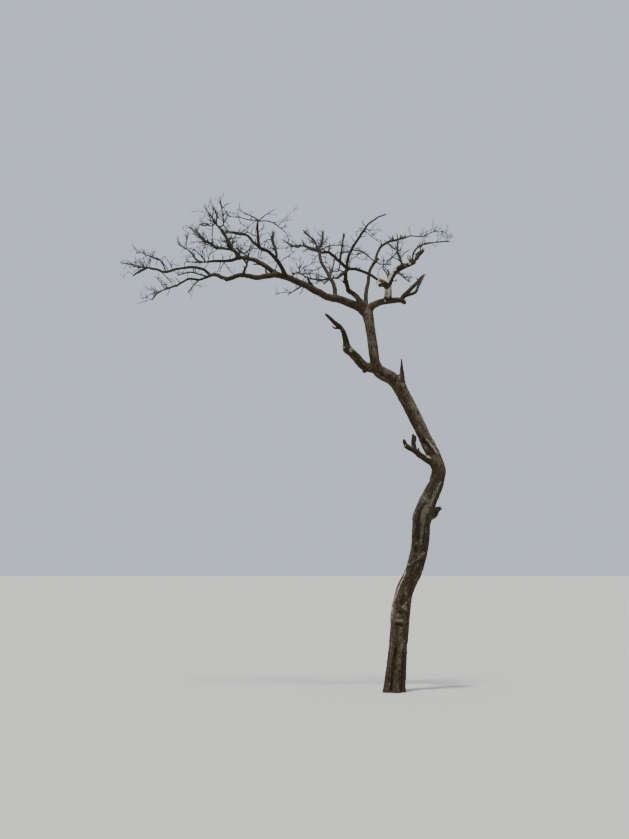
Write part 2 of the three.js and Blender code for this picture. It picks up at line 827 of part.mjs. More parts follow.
function boughTube(line, stations, extra) {
  const sides = line.radius(0) < BOUGH_MESH.thinUnder ? BOUGH_MESH.thinSides : BOUGH_MESH.thickSides;
  const rings = Math.max(BOUGH_MESH.ringsAStation * stations, ringsFor(line, BOUGH_MESH.ringEvery));
  return solidOf(tube(line, sides, rings, { extra }));
}

// A limb as a row of balls along its line, and the distance from a point to the nearest ball's surface
function beadsOf(line) {
  const count = Math.ceil(line.curve.getLength() / BEAD_EVERY) + 1;
  return Array.from({ length: count + 1 }, (_, i) => ({
    at: line.curve.getPoint(i / count),
    radius: line.radius(i / count),
  }));
}
const clearance = (point, beads) => Math.min(...beads.map((bead) => bead.at.distanceTo(point) - bead.radius));

// A side shoot's direction: off the parent's tangent by an angle, turned round it, then lifted to the light
function shootDirection(tangent, angle, turn, lift) {
  const across = Math.abs(tangent.z) < STEEP ? UP : SIDEWAYS;
  const right = new THREE.Vector3().crossVectors(tangent, across).normalize();
  const over = new THREE.Vector3().crossVectors(right, tangent);
  return tangent
    .clone()
    .multiplyScalar(Math.cos(angle))
    .addScaledVector(right, Math.sin(angle) * Math.cos(turn))
    .addScaledVector(over, Math.sin(angle) * Math.sin(turn))
    .addScaledVector(UP, lift)
    .normalize();
}

// A twig of two reaches with a kink between them
function twigLine(root, direction, length, radius, draw) {
  const bend = () => (draw() - 0.5) * TWIG.kink;
  const middle = root.clone().addScaledVector(direction, length / 2);
  const on = direction.clone().add(new THREE.Vector3(bend(), bend(), bend())).normalize();
  const tip = middle.clone().addScaledVector(on, length / 2);
  return taperedLine([root.toArray(), middle.toArray(), tip.toArray()], [radius, TWIG.tip]);
}

// The twigs of one parent line, then their own, down to the last level. share of them grow, and fits says
// whether a twig has room.
function branch(parent, seed, level, share, fits, found) {
  const count = Math.max(1, Math.round(parent.curve.getLength() / TWIG.spacing[level]));
  for (let k = 0; k < count; k++) {
    const draw = dice(seed * 31 + k * 7 + level);
    if (draw() > share) continue;
    const t = TWIG.firstAt + ((1 - TWIG.firstAt) * (k + 0.2 + 0.6 * draw())) / count;
    const angle = radians(TWIG.angle + TWIG.angleSpread * (2 * draw() - 1));
    const turn = radians(TWIG.turn * k + TWIG.turnSpread * draw() + seed * 40);
    const long = TWIG.shortest + TWIG.lengthSpread * draw();
    const length = TWIG.length[level] * long * (1.1 - TWIG.shorterToTip * t);
    const direction = shootDirection(parent.curve.getTangent(t), angle, turn, TWIG.lift * draw());
    const radius = parent.radius(t) * TWIG.thickness;
    const twig = twigLine(parent.curve.getPoint(t), direction, length, radius, draw);
    if (direction.z < TWIG.lowest || !fits(twig)) continue;
    found.push(twig);
    if (level + 1 < TWIG.levels) branch(twig, seed * 3 + k + 5, level + 1, TWIG.nextShare, fits, found);
  }
}

// A mass's stem and leaders
function massLines(mass, limbs) {
  const rows = [];
  for (const line of mass.lines) rows.push(grownLine(limbs[line.on] ?? rows[line.on], line));
  return rows;
}

// A mass's stem, leaders and those twigs that have room, fused
function massSolid(mass, rows, limbBeads, ownBeads, otherBeads) {
  const hasRoom = (point) =>
    clearance(point, limbBeads) > LIMB_CLEAR &&
    clearance(point, ownBeads) + OWN_SPACE < clearance(point, otherBeads);
  const fits = (twig) => TESTED_AT.every((t) => hasRoom(twig.curve.getPoint(t)));
  const twigs = [];
  rows.forEach((row, i) => branch(row, mass.seed * 10 + i, 0, mass.lines[i].twigs, fits, twigs));
  const tubes = [
    ...rows.map((row) => tube(row, STEM_MESH.sides, ringsFor(row, STEM_MESH.ringEvery))),
    ...twigs.map((twig) => tube(twig, TWIG_MESH.sides, TWIG_MESH.rings, { pointed: true })),
  ];
  return tubes.map(solidOf).reduce((a, b) => a.add(b));
}

// The trunk first, then each bough, cut clear of every limb before it
const trunkLine = taperedLine(TRUNK, TRUNK.map((station) => station[3]));
const limbs = { trunk: trunkLine };
const wholeTrunk = trunkSolid(trunkLine);
const solids = { trunk: wholeTrunk.subtract(groundBlock()) };
const widened = [movedOut(wholeTrunk, MOVED_OUT * JOINT_GAP)];
for (const [name, bough] of Object.entries(BOUGHS)) {
  const line = grownLine(limbs[bough.on], bough);
  solids[name] = cutClear(boughTube(line, bough.route.length, 0), widened);
  limbs[name] = line;
  widened.push(boughTube(line, bough.route.length, JOINT_GAP));
}

// Then each mass, cut clear of every limb
const limbBeads = Object.values(limbs).flatMap(beadsOf);
const rowsOf = {};
const massBeads = {};
for (const [name, mass] of Object.entries(MASSES)) {
  rowsOf[name] = massLines(mass, limbs);
  massBeads[name] = rowsOf[name].flatMap(beadsOf);
}
for (const [name, mass] of Object.entries(MASSES)) {
  const otherBeads = Object.keys(MASSES).flatMap((other) => (other === name ? [] : massBeads[other]));
  const whole = massSolid(mass, rowsOf[name], limbBeads, massBeads[name], otherBeads);
  solids[name] = cutClear(whole, widened);
}

const tree = new THREE.Group();
for (const [name, solid] of Object.entries(solids)) {
  const mesh = new THREE.Mesh(geometryOf(solid), name in MASSES ? TWIG_WOOD : BARK);
  mesh.name = name;
  tree.add(mesh);
}

export default tree;
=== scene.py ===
# %% [markdown]
# # A bare savanna acacia
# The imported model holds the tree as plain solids: a trunk, its boughs, and masses of thorny twigs. This
# lesson dresses them for a close look. The bark becomes one continuous skin with plates, clefts and knots,
# and each mass of twigs grows again, by the same rule as the solids, down to its finest thorns.
# The fixed frame comes first. Every piece made later sits where its solids are, in metres, +Z up.

# %% Load the fixed frame
import math
import bpy
import numpy as np
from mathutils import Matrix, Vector


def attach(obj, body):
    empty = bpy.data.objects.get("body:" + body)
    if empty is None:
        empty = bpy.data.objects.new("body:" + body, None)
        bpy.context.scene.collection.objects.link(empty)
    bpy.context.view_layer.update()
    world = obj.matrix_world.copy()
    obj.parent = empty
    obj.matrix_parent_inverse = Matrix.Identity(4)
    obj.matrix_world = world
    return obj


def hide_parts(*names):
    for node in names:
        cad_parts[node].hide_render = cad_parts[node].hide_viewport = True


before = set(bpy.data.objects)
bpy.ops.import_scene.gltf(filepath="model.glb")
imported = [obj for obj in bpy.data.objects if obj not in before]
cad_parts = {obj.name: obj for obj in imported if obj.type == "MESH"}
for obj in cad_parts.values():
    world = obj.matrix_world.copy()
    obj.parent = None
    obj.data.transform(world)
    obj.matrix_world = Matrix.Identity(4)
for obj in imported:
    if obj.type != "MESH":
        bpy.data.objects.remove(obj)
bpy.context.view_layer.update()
ROOT = "root"
print("nodes in the frame:", len(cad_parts))

# %% [markdown]
# ## The limbs
# A limb is a smooth line through a few points, with a radius that tapers along it. Each bough grows on
# another limb, at a share of that limb's way, so its first point is worked out and isn't in the list.
# The numbers are the solids' own, in millimetres, so the skin wraps exactly where they stand.

# %% The trunk's stations and the boughs' routes
MM = 0.001
TRUNK = (
    (-15, 0, -150, 240),
    (40, 10, 480, 203),
    (210, 50, 1870, 180),
    (430, 60, 2440, 168),
    (560, 40, 2970, 177),
    (594, 0, 3480, 197),
    (722, -60, 3850, 189),
    (910, -110, 4270, 155),
    (925, -120, 4600, 142),
    (660, -40, 5220, 131),
    (300, 95, 6020, 135),
    (52, 140, 6420, 141),
    (-245, 130, 6610, 131),
    (-345, 105, 6860, 106),
    (-440, 60, 7500, 96),
    (-500, 50, 7810, 117),
    (-540, 50, 7930, 80),
)
ROOT_FLARE = dict(lobes=5, depth=0.1, height=0.42, turn=0.6)

# Sinews wind up the trunk: how many go round, the height of one winding, where they start, share of radius
SINEWS = (
    dict(lobes=2, winding=2.9, start=0.9, share=0.03),
    dict(lobes=3, winding=-2.3, start=2.2, share=0.032),
    dict(lobes=5, winding=3.7, start=0.2, share=0.024),
    dict(lobes=4, winding=-0.82, start=4.1, share=0.013),
)

# Hollows in the trunk (deep above 0) and ridges on it (below 0): width, depth, and a route of heights and of
# degrees round the trunk, where -90 is the front and 0 the right
FORMS = {
    "long_hollow": (68, 66, ((3600, -125), (3300, -122), (3080, -118))),
    "hollow_top": (42, 38, ((3800, -106), (3690, -116))),
    "pale_strand": (30, -24, ((4240, -66), (3860, -74), (3500, -83), (3000, -90))),
    "left_lip": (34, -18, ((3640, -166), (3060, -168))),
    "low_hollow": (36, 34, ((2910, -124), (2840, -116))),
    "crossing_strand": (26, -22, ((2800, -58), (2660, -98), (2540, -146))),
    "long_furrow": (30, 20, ((2420, -112), (2250, -104), (1900, -122))),
    "healed_knot": (52, -34, ((1710, -82), (1690, -76))),
    "knot_upper_hollow": (34, 28, ((1820, -108), (1780, -100))),
    "knot_lower_hollow": (32, 26, ((1610, -112), (1580, -98))),
    "pale_lip": (32, -26, ((1436, -120), (1428, -82))),
    "under_the_lip": (32, 28, ((1366, -116), (1358, -96))),
    "left_bulge": (85, -26, ((1760, -166), (1490, -164))),
    "middle_ridge": (38, -18, ((1270, -84), (920, -72), (560, -80))),
    "middle_furrow": (28, 20, ((1290, -112), (980, -98), (700, -106))),
    "base_cleft": (36, 46, ((860, -104), (480, -110), (60, -114))),
    "root_fold_right": (38, 24, ((720, -46), (40, -50))),
    "root_fold_side": (42, 28, ((930, 4), (40, 0))),
    "root_fold_back_right": (40, 30, ((720, 52), (40, 47))),
    "root_fold_back": (42, 34, ((1000, 98), (40, 94))),
    "root_fold_back_left": (42, 28, ((860, 150), (40, 146))),
    "root_fold_left": (38, 24, ((700, 200), (40, 205))),
    "back_knot_low": (60, -30, ((1030, 38), (1010, 44))),
    "side_hollow_low": (46, 26, ((1640, 120), (1560, 122))),
    "side_split": (40, 22, ((2240, 0), (1880, 8))),
    "back_bulge": (62, -28, ((2620, 90), (2500, 96))),
    "back_furrow": (40, 26, ((2760, 60), (2100, 78), (1500, 62))),
    "side_furrow": (34, 20, ((4300, 8), (3500, -12), (2900, 6))),
    "left_hollow": (44, 28, ((3420, 164), (3340, 166))),
    "back_split": (38, 24, ((4350, 70), (3950, 58), (3600, 66))),
    "bend_knot": (52, -24, ((4760, 110), (4700, 112))),
    "bend_furrow": (34, 20, ((5750, 130), (5000, 152), (4300, 138))),
    "upper_split": (34, 24, ((5110, -122), (4960, -100), (4830, -88))),
    "upper_strand": (26, -16, ((5130, -88), (4960, -66), (4830, -54))),
    "upper_hollow": (36, 20, ((5660, 30), (5600, 34))),
}


def grows(on, at, radii, *route):
    """One bough: what it grows on, at which share of the way, its end radii, and the points it passes."""
    return dict(on=on, at=at, radii=radii, route=route)


BOUGHS = dict(
    dead_limb_lower=grows("trunk", 0.77, (104, 84), (-530, 110, 6700), (-740, 50, 6890),
        (-960, -60, 7080)),
    dead_limb_upper=grows("dead_limb_lower", 0.97, (78, 14), (-975, -110, 7300), (-1100, -160, 7520),
        (-1390, -260, 7760)),
    shoulder_spike=grows("trunk", 0.655, (120, 96, 46, 32, 10), (180, 100, 6400), (207, 85, 6499),
        (218, 80, 6604), (219, 75, 6709), (211, 70, 6860)),
    left_stub=grows("trunk", 0.505, (80, 50), (755, -170, 4690), (585, -240, 4790), (425, -310, 4895),
        (236, -385, 4990)),
    left_stub_horn=grows("left_stub", 0.95, (46, 22), (226, -390, 5045), (229, -395, 5105)),
    left_stub_spike=grows("left_stub", 0.74, (56, 44, 24), (422, -310, 5025), (414, -310, 5130),
        (403, -310, 5235)),
    right_stub=grows("trunk", 0.335, (120, 84, 38), (814, 30, 3600), (912, 64, 3690), (1002, 92, 3735)),
    left_bough=grows("trunk", 0.945, (92, 33), (-740, 0, 7975), (-1080, -100, 8095), (-1350, -165, 8145),
        (-1710, -250, 8310), (-2080, -320, 8470), (-2410, -360, 8555), (-2800, -380, 8500),
        (-3150, -355, 8555), (-3440, -320, 8480), (-3670, -280, 8580), (-3850, -240, 8560)),
    left_lower_bough=grows("left_bough", 0.975, (27, 20), (-4000, -300, 8470), (-4200, -420, 8460),
        (-4370, -520, 8350), (-4480, -605, 8245)),
    left_tip_bough=grows("left_bough", 0.965, (31, 24), (-3960, -200, 8720), (-4190, -120, 8780),
        (-4490, -40, 8770), (-4750, 40, 8715), (-4950, 100, 8780), (-5170, 165, 8840)),
    left_upper_bough=grows("left_bough", 0.53, (54, 24), (-2580, -260, 8730), (-2800, -120, 8900),
        (-3060, 40, 9010), (-3250, 120, 9035), (-3410, 200, 9000), (-3680, 340, 9030),
        (-3980, 505, 9045)),
    left_crown_bough=grows("left_upper_bough", 0.56, (42, 28), (-3280, 100, 9150), (-3410, 40, 9250),
        (-3460, 0, 9400), (-3600, -50, 9650)),
    perch_bough=grows("left_bough", 0.484, (46, 32), (-2310, -500, 8710), (-2390, -620, 8820),
        (-2550, -780, 8930), (-2760, -960, 8995)),
    perch_stem=grows("perch_bough", 0.98, (28, 24), (-2765, -1000, 9190), (-2770, -1050, 9500)),
    perch_left_bough=grows("perch_bough", 0.97, (32, 24), (-2870, -860, 9130), (-2980, -780, 9270),
        (-3120, -720, 9340), (-3310, -660, 9390)),
    front_bough=grows("left_bough", 0.712, (27, 18), (-3062, -450, 8655), (-3028, -570, 8769),
        (-3295, -1090, 8954)),
    back_bough=grows("left_upper_bough", 0.275, (36, 22), (-2850, 260, 9000), (-2960, 640, 9120),
        (-3130, 980, 9330)),
    rising_bough=grows("left_bough", 0.215, (42, 33), (-1190, 0, 8360), (-1230, 120, 8520),
        (-1300, 225, 8630)),
    rising_top_bough=grows("rising_bough", 0.92, (32, 29), (-1340, 360, 8790), (-1440, 510, 8980),
        (-1490, 660, 9170), (-1500, 800, 9360)),
    middle_bough=grows("trunk", 0.985, (62, 34), (-660, -40, 8090), (-790, -180, 8190),
        (-915, -320, 8280), (-970, -460, 8550), (-930, -500, 8660)),
    middle_top_bough=grows("middle_bough", 0.98, (31, 24), (-925, -570, 8830), (-860, -620, 9000),
        (-640, -735, 9335), (-580, -765, 9400)),
    middle_left_bough=grows("middle_bough", 0.985, (33, 30), (-1080, -640, 8750), (-1230, -800, 8855),
        (-1330, -900, 8900), (-1490, -1045, 8850)),
    middle_right_bough=grows("middle_bough", 0.975, (32, 28), (-770, -460, 8655), (-580, -420, 8600),
        (-440, -380, 8550), (-300, -340, 8450)),
    centre_bough=grows("trunk", 0.99, (46, 31), (-520, 220, 8260), (-470, 380, 8560), (-420, 520, 8860),
        (-250, 705, 9200)),
    centre_top_bough=grows("centre_bough", 0.94, (28, 26), (-250, 760, 9300), (-140, 880, 9500),
        (30, 1000, 9630), (230, 1140, 9710), (420, 1265, 9800)),
    right_bough=grows("trunk", 0.95, (88, 46), (-400, 80, 7990), (-210, 100, 8080), (10, 120, 8120),
        (180, 140, 8130), (300, 160, 8105)),
    right_upright_bough=grows("right_bough", 0.53, (78, 68, 58, 50, 36), (-60, 40, 8260),
        (-60, -20, 8420), (0, -100, 8560), (120, -200, 8690), (250, -320, 8740), (410, -460, 8780),
        (475, -520, 8840)),
    right_pale_stub=grows("right_upright_bough", 0.26, (78, 74), (-140, -80, 8445), (-240, -130, 8475)),
    right_top_stub=grows("right_upright_bough", 0.86, (32, 24), (510, -400, 8890), (610, -300, 9050),
        (680, -250, 9150)),
    right_low_bough=grows("right_bough", 0.83, (44, 34, 20), (350, 260, 8320), (500, 360, 8480),
        (620, 450, 8620), (760, 600, 8800)),
    right_low_fork=grows("right_low_bough", 0.12, (28, 20), (500, 50, 8275), (600, 180, 8450),
        (735, 480, 8740)),
)
print("boughs:", len(BOUGHS))

# %% [markdown]
# ## Small pegs on the limbs
# Years of drought leave knuckles, spurs and snapped corners on an old acacia. They are too small for the
# solids, so they are short extra limbs of the skin, written in the same way.

# %% Knuckles, spurs and snapped corners
PEGS = dict(
    limb_corner=grows("dead_limb_lower", 0.3, (66, 24), (-556, 85, 6604), (-592, 82, 6572)),
    limb_knuckle=grows("dead_limb_lower", 0.93, (84, 46), (-965, -70, 7036), (-1002, -75, 7020)),
    limb_spur=grows("dead_limb_upper", 0.62, (30, 7), (-1190, -190, 7470), (-1242, -200, 7528)),
    stub_spur=grows("left_stub", 0.55, (34, 9), (528, -275, 4890), (516, -275, 4970)),
    spike_prong=grows("left_stub_spike", 0.42, (34, 17), (455, -300, 5110), (465, -300, 5204)),
    right_corner=grows("right_bough", 0.93, (44, 34), (300, 164, 8094), (334, 168, 8082)),
    middle_knuckle=grows("middle_bough", 0.5, (54, 22), (-930, -318, 8246), (-956, -322, 8238)),
    middle_upper_knuckle=grows("middle_bough", 0.72, (44, 16), (-1000, -410, 8392), (-1022, -420, 8386)),
    centre_knob=grows("centre_bough", 0.86, (36, 22), (-262, 610, 9120), (-206, 616, 9138)),
    left_knuckle=grows("left_bough", 0.815, (38, 12), (-3446, -330, 8440), (-3450, -334, 8418)),
    hanging_link=grows("left_bough", 0.58, (30, 13), (-2620, -330, 8640), (-2629, -300, 8780)),
    upper_peg=grows("left_upper_bough", 0.31, (28, 14), (-2760, -150, 8840), (-2900, -170, 8826)),
    top_spur_a=grows("centre_top_bough", 0.34, (18, 8), (-150, 860, 9560), (-178, 850, 9640)),
    top_spur_b=grows("centre_top_bough", 0.66, (18, 8), (120, 1060, 9730), (96, 1055, 9790)),
    top_spur_c=grows("centre_top_bough", 0.86, (17, 9), (290, 1160, 9780), (300, 1150, 9835)),
    low_peg=grows("left_bough", 0.33, (34, 12), (-1720, -300, 8430), (-1745, -330, 8500)),
    crown_peg=grows("left_crown_bough", 0.6, (24, 10), (-3420, 10, 9420), (-3370, 40, 9480)),
    pale_knob=grows("right_pale_stub", 0.60, (70, 94, 90), (-215, -128, 8452), (-268, -136, 8444)),
    rusty_knot=grows("left_crown_bough", 0.44, (42, 56, 44), (-3415, 48, 9295), (-3440, 28, 9370)),
    top_swell=grows("right_top_stub", 0.3, (34, 50, 46), (560, -310, 9000), (640, -258, 9110)),
    end_knob=grows("right_upright_bough", 0.90, (46, 44), (440, -515, 8790), (452, -522, 8752)),
    pale_horn=grows("right_upright_bough", 0.90, (44, 34), (357, -470, 8876), (341, -470, 8944)),
    middle_knob=grows("right_upright_bough", 0.60, (58, 50), (218, -330, 8743), (229, -335, 8800)),
    dead_tip=grows("dead_limb_upper", 0.6, (46, 36, 22), (-1290, -228, 7668), (-1388, -259, 7758)),
    horn_tip=grows("left_stub_horn", 0.3, (36, 30), (226, -392, 5075), (231, -396, 5112)),
)

# %% [markdown]
# ## A line through points
# The solids run each limb through its points with a Catmull-Rom curve, the kind that passes every point
# it is given. The same formula is written here, so a share of the way means the same place in both.

# %% Lines and their length
LENGTH_STEPS = 200
TANGENT_STEP = 1e-4


class Line:
    """A curved line through points, with a radius that tapers along it."""

    def __init__(self, points, radii):
        p = np.array(points, float)
        self.knots = np.vstack([2 * p[0] - p[1], p, 2 * p[-1] - p[-2]])
        self.spans = len(p) - 1
        self.radii = np.array(radii, float)
        steps = self.at(np.linspace(0, 1, LENGTH_STEPS + 1))
        self.length = float(np.linalg.norm(np.diff(steps, axis=0), axis=1).sum())

    def at(self, t):
        """The points at shares of the way."""
        place = np.clip(np.asarray(t, float), 0, 1) * self.spans
        i = np.minimum(place.astype(int), self.spans - 1)
        w = (place - i)[..., None]
        before, start, end, after = (self.knots[i + k] for k in range(4))
        leave = 0.5 * (end - before)
        arrive = 0.5 * (after - start)
        bend = 3 * (end - start) - 2 * leave - arrive
        return start + w * (leave + w * (bend + w * (2 * (start - end) + leave + arrive)))

    def tangent(self, t):
        """The direction at a share of the way."""
        step = self.at(min(t + TANGENT_STEP, 1)) - self.at(max(t - TANGENT_STEP, 0))
        return step / np.linalg.norm(step)

    def radius(self, t):
        """The radii at shares of the way."""
        return np.interp(np.asarray(t, float) * (len(self.radii) - 1), range(len(self.radii)), self.radii)


def grown_line(bearer, bough):
    """A limb that starts on its bearer's middle line."""
    route = np.array(bough["route"], float) * MM
    return Line([bearer.at(bough["at"]), *route], np.array(bough["radii"]) * MM)


stations = np.array(TRUNK, float) * MM
limbs = {"trunk": Line(stations[:, :3], stations[:, 3])}
for name, bough in BOUGHS.items():
    limbs[name] = grown_line(limbs[bough["on"]], bough)
print("limbs:", len(limbs), "metres of limb:", round(sum(line.length for line in limbs.values()), 1))

# %% [markdown]
# ## The masses of twigs
# Each mass has a stem that grows on a bough, and leaders that grow on the stem. A leader is told by what
# it grows on, the share of the way, its end radii, and the share of the rule's twigs that it bears.

# %% Stems and leaders of the masses


def line(on, at, radii, twigs, *route):
    """One stem or leader of a mass."""
    return dict(on=on, at=at, radii=radii, twigs=twigs, route=route)


MASSES = dict(
    left_lower_twigs=(11, [
        line("left_lower_bough", 0.92, (15, 6), 1, (-4680, -700, 8170), (-4810, -780, 8080),
            (-4930, -860, 7920)),
        line(0, 0.6, (8, 3), 0.7, (-4950, -700, 8080), (-5130, -640, 7990)),
    ]),
    left_tip_twigs=(12, [
        line("left_tip_bough", 0.97, (16, 4), 1, (-5270, 200, 8860), (-5440, 260, 8920),
            (-5780, 400, 9010)),
        line(0, 0.16, (14, 11), 0.4, (-5330, 90, 8740), (-5440, 0, 8625)),
        line(0, 0.2, (9, 4), 0.6, (-5310, 300, 8970), (-5380, 400, 9080)),
        line(0, 0.13, (9, 4), 0.5, (-5120, 80, 8970), (-5060, -20, 9110)),
    ]),
    left_fan_twigs=(13, [
        line("left_tip_bough", 0.665, (14, 5), 1, (-4900, 200, 9010), (-5140, 340, 9130),
            (-5350, 460, 9250), (-5470, 550, 9250)),
    ]),
    left_hook_twigs=(14, [
        line("left_lower_bough", 0.06, (15, 10), 0.7, (-3990, -400, 8560), (-4180, -580, 8560),
            (-4410, -760, 8460)),
    ]),
    left_drop_twigs=(15, [
        line("left_lower_bough", 0.25, (13, 8), 0.6, (-4090, -400, 8370), (-4160, -500, 8230),
            (-4220, -560, 8140)),
    ]),
    left_upper_twigs=(16, [
        line("left_upper_bough", 0.985, (15, 6), 1, (-4120, 590, 9060), (-4310, 680, 9090)),
        line(0, 0.2, (13, 6), 0.8, (-4150, 620, 9130), (-4250, 740, 9280), (-4420, 860, 9430),
            (-4610, 1000, 9560)),
        line(1, 0.72, (8, 4), 0.5, (-4420, 930, 9600), (-4370, 1000, 9840)),
    ]),
    left_crown_twigs=(17, [
        line("left_crown_bough", 0.95, (18, 7), 1, (-3730, -140, 9770), (-3800, -220, 9870),
            (-3890, -300, 9980)),
        line(0, 0.12, (14, 5), 0.8, (-3545, 60, 9760), (-3570, 180, 9970), (-3610, 220, 10180),
            (-3640, 260, 10340)),
        line(0, 0.25, (12, 7), 1, (-3810, 120, 9730), (-3960, 280, 9830), (-4090, 400, 9850)),
        line(0, 0.22, (11, 5), 0.8, (-3670, -300, 9830), (-3710, -450, 9940)),
    ]),
    left_side_twigs=(18, [
        line("left_crown_bough", 0.37, (20, 9), 1, (-3590, 180, 9270), (-3760, 290, 9340),
            (-3940, 420, 9470), (-4090, 520, 9610), (-4320, 650, 9850)),
        line(0, 0.55, (11, 6), 0.8, (-4060, 310, 9445), (-4210, 250, 9420)),
        line(0, 0.63, (10, 5), 0.7, (-4100, 600, 9690), (-4220, 700, 9780)),
    ]),
    perch_twigs=(19, [
        line("perch_stem", 0.95, (15, 5), 0.5, (-2790, -1055, 9550), (-2970, -1000, 9660),
            (-3180, -900, 9810)),
        line(0, 0.2, (11, 5), 0.5, (-2600, -1030, 9650), (-2420, -1080, 9750)),
        line(0, 0.18, (11, 4), 0.6, (-2500, -1000, 9510), (-2360, -960, 9430), (-2260, -900, 9360),
            (-2160, -840, 9250), (-2150, -800, 9140)),
        line(0, 0.25, (10, 5), 0.7, (-2920, -1140, 9510), (-3120, -1250, 9530), (-3300, -1300, 9540),
            (-3400, -1360, 9620)),
        line(2, 0.4, (7, 3), 0.5, (-2260, -1050, 9520), (-2120, -1150, 9620)),
    ]),
    perch_side_twigs=(20, [
        line("perch_bough", 0.49, (18, 8), 1, (-2410, -720, 8960), (-2450, -820, 9130),
            (-2470, -930, 9310)),
    ]),
    perch_left_twigs=(21, [
        line("perch_left_bough", 0.96, (15, 7), 1, (-3380, -630, 9410), (-3500, -590, 9460)),
    ]),
    front_twigs=(40, [
        line("front_bough", 0.95, (15, 6), 1, (-3345, -1210, 9030), (-3490, -1360, 9205)),
        line(0, 0.22, (12, 5), 1, (-3262, -1220, 9060), (-3150, -1380, 9200)),
    ]),
    back_twigs=(41, [
        line("back_bough", 0.95, (16, 6), 1, (-3260, 1150, 9460), (-3450, 1330, 9600)),
        line(0, 0.2, (12, 5), 1, (-3040, 1200, 9490), (-2860, 1430, 9600)),
    ]),
    rising_twigs=(22, [
        line("rising_top_bough", 0.97, (21, 9), 1, (-1640, 900, 9420), (-1880, 1080, 9550),
            (-2020, 1180, 9550), (-2310, 1380, 9760)),
        line(0, 0.09, (15, 6), 0.5, (-1560, 820, 9500), (-1690, 860, 9670), (-1840, 950, 9830)),
        line(0, 0.07, (13, 6), 0.7, (-1450, 750, 9550), (-1420, 700, 9740)),
        line(0, 0.05, (10, 4), 0.4, (-1300, 700, 9450), (-1070, 600, 9440), (-880, 500, 9400),
            (-630, 400, 9290)),
    ]),
    rising_low_twigs=(23, [
        line("rising_bough", 0.95, (20, 9), 1, (-1490, 400, 8630), (-1750, 580, 8720), (-1960, 760, 8870),
            (-2080, 880, 8840)),
    ]),
    middle_top_twigs=(25, [
        line("middle_top_bough", 0.95, (18, 11), 0, (-520, -860, 9490), (-340, -1000, 9580),
            (-160, -1140, 9630)),
        line(0, 0.12, (8, 3), 0.6, (-480, -690, 9400), (-300, -600, 9240)),
        line(0, 0.1, (8, 4), 0, (-640, -790, 9440), (-690, -780, 9450)),
    ]),
    middle_arc_twigs=(42, [
        line("middle_top_bough", 0.52, (13, 5), 0.7, (-610, -500, 9000), (-390, -300, 8890),
            (-200, -190, 8815), (0, -130, 8835)),
    ]),
    middle_left_twigs=(26, [
        line("middle_left_bough", 0.95, (19, 8), 1, (-1570, -1100, 8900), (-1600, -1160, 9060),
            (-1850, -1300, 9260)),
        line(0, 0.2, (13, 6), 0.7, (-1470, -1050, 9100), (-1440, -1020, 9340)),
    ]),
    middle_spire=(27, [
        line("middle_left_bough", 0.27, (19, 11), 0, (-1075, -690, 8900), (-1045, -720, 9060),
            (-1010, -750, 9330)),
        line(0, 0.36, (8, 3), 0.6, (-980, -730, 8960), (-830, -690, 8900), (-610, -560, 8970)),
    ]),
    middle_low_twigs=(28, [
        line("middle_bough", 0.955, (22, 11), 0.8, (-1050, -620, 8520), (-1150, -740, 8410),
            (-1250, -840, 8360)),
    ]),
    centre_top_twigs=(30, [
        line("centre_top_bough", 0.97, (13, 4), 1, (560, 1360, 9850), (820, 1500, 9880),
            (1010, 1600, 10000), (1250, 1740, 10060), (1500, 1890, 9980)),
        line(0, 0.81, (7, 3), 0.6, (1330, 1700, 9900), (1480, 1640, 9880)),
    ]),
    centre_side_twigs=(31, [
        line("centre_top_bough", 0.54, (15, 8), 0.8, (130, 900, 9450), (260, 800, 9360)),
    ]),
    right_top_twigs=(32, [
        line("right_upright_bough", 0.88, (15, 8), 0.3, (440, -560, 8980), (560, -700, 9080),
            (760, -920, 9085), (1110, -1250, 9040)),
    ]),
    right_rise_twigs=(34, [
        line("right_upright_bough", 0.68, (19, 9), 0.8, (190, -260, 8920), (140, -220, 9100),
            (130, -160, 9340)),
    ]),
    right_side_twigs=(35, [
        line("right_upright_bough", 0.54, (12, 7), 0.8, (230, -360, 8550), (280, -500, 8430),
            (350, -620, 8360)),
    ]),
    right_cross_twigs=(36, [
        line("right_upright_bough", 0.36, (15, 6), 0.8, (-80, 90, 8690), (-160, 200, 8860),
            (-40, 300, 9020), (170, 480, 9260)),
    ]),
    under_twigs=(38, [
        line("left_bough", 0.396, (17, 7), 0.8, (-1980, -400, 8250), (-2060, -480, 8170),
            (-2160, -570, 8090)),
    ]),
    bridge_twigs=(39, [
        line("front_bough", 0.64, (13, 7), 0.8, (-2975, -600, 8870), (-2950, -610, 8960)),
    ]),
)
print("masses:", len(MASSES), "lines:", sum(len(lines) for _, lines in MASSES.values()))

# %% [markdown]
# ## The rule the twigs branch by
# A shoot leaves its parent at about 52 degrees, each one turned 137.5 degrees from the last, as leaves
# and buds are on a real stem, and it bends up to the light. The dice are seeded, so the tree is the same
# at each run. The first two levels are the solids' own twigs; the third is finer, and only seen here.

# %% The rule's sizes
TWIG = dict(
    levels=3,
    spacing=(0.135, 0.150, 0.085),
    length=(0.290, 0.150, 0.085),
    next_share=(0.56, 1.0),
    shortest=0.6,
    length_spread=0.7,
    shorter_to_tip=0.5,
    angle=52,
    angle_spread=18,
    turn=137.5,
    turn_spread=50,
    lift=0.4,
    kink=0.5,
    thickness=0.6,
    tip=0.0016,
    first_at=0.14,
    lowest=-0.4,
)
LIMB_CLEAR = 0.014
OWN_SPACE = 0.016
TESTED_AT = np.array([0.35, 0.7, 1.0])
BEAD_EVERY = 0.060
STEEP = 0.9
DICE_MOST = 2147483647
UP = np.array([0.0, 0.0, 1.0])
SIDEWAYS = np.array([1.0, 0.0, 0.0])


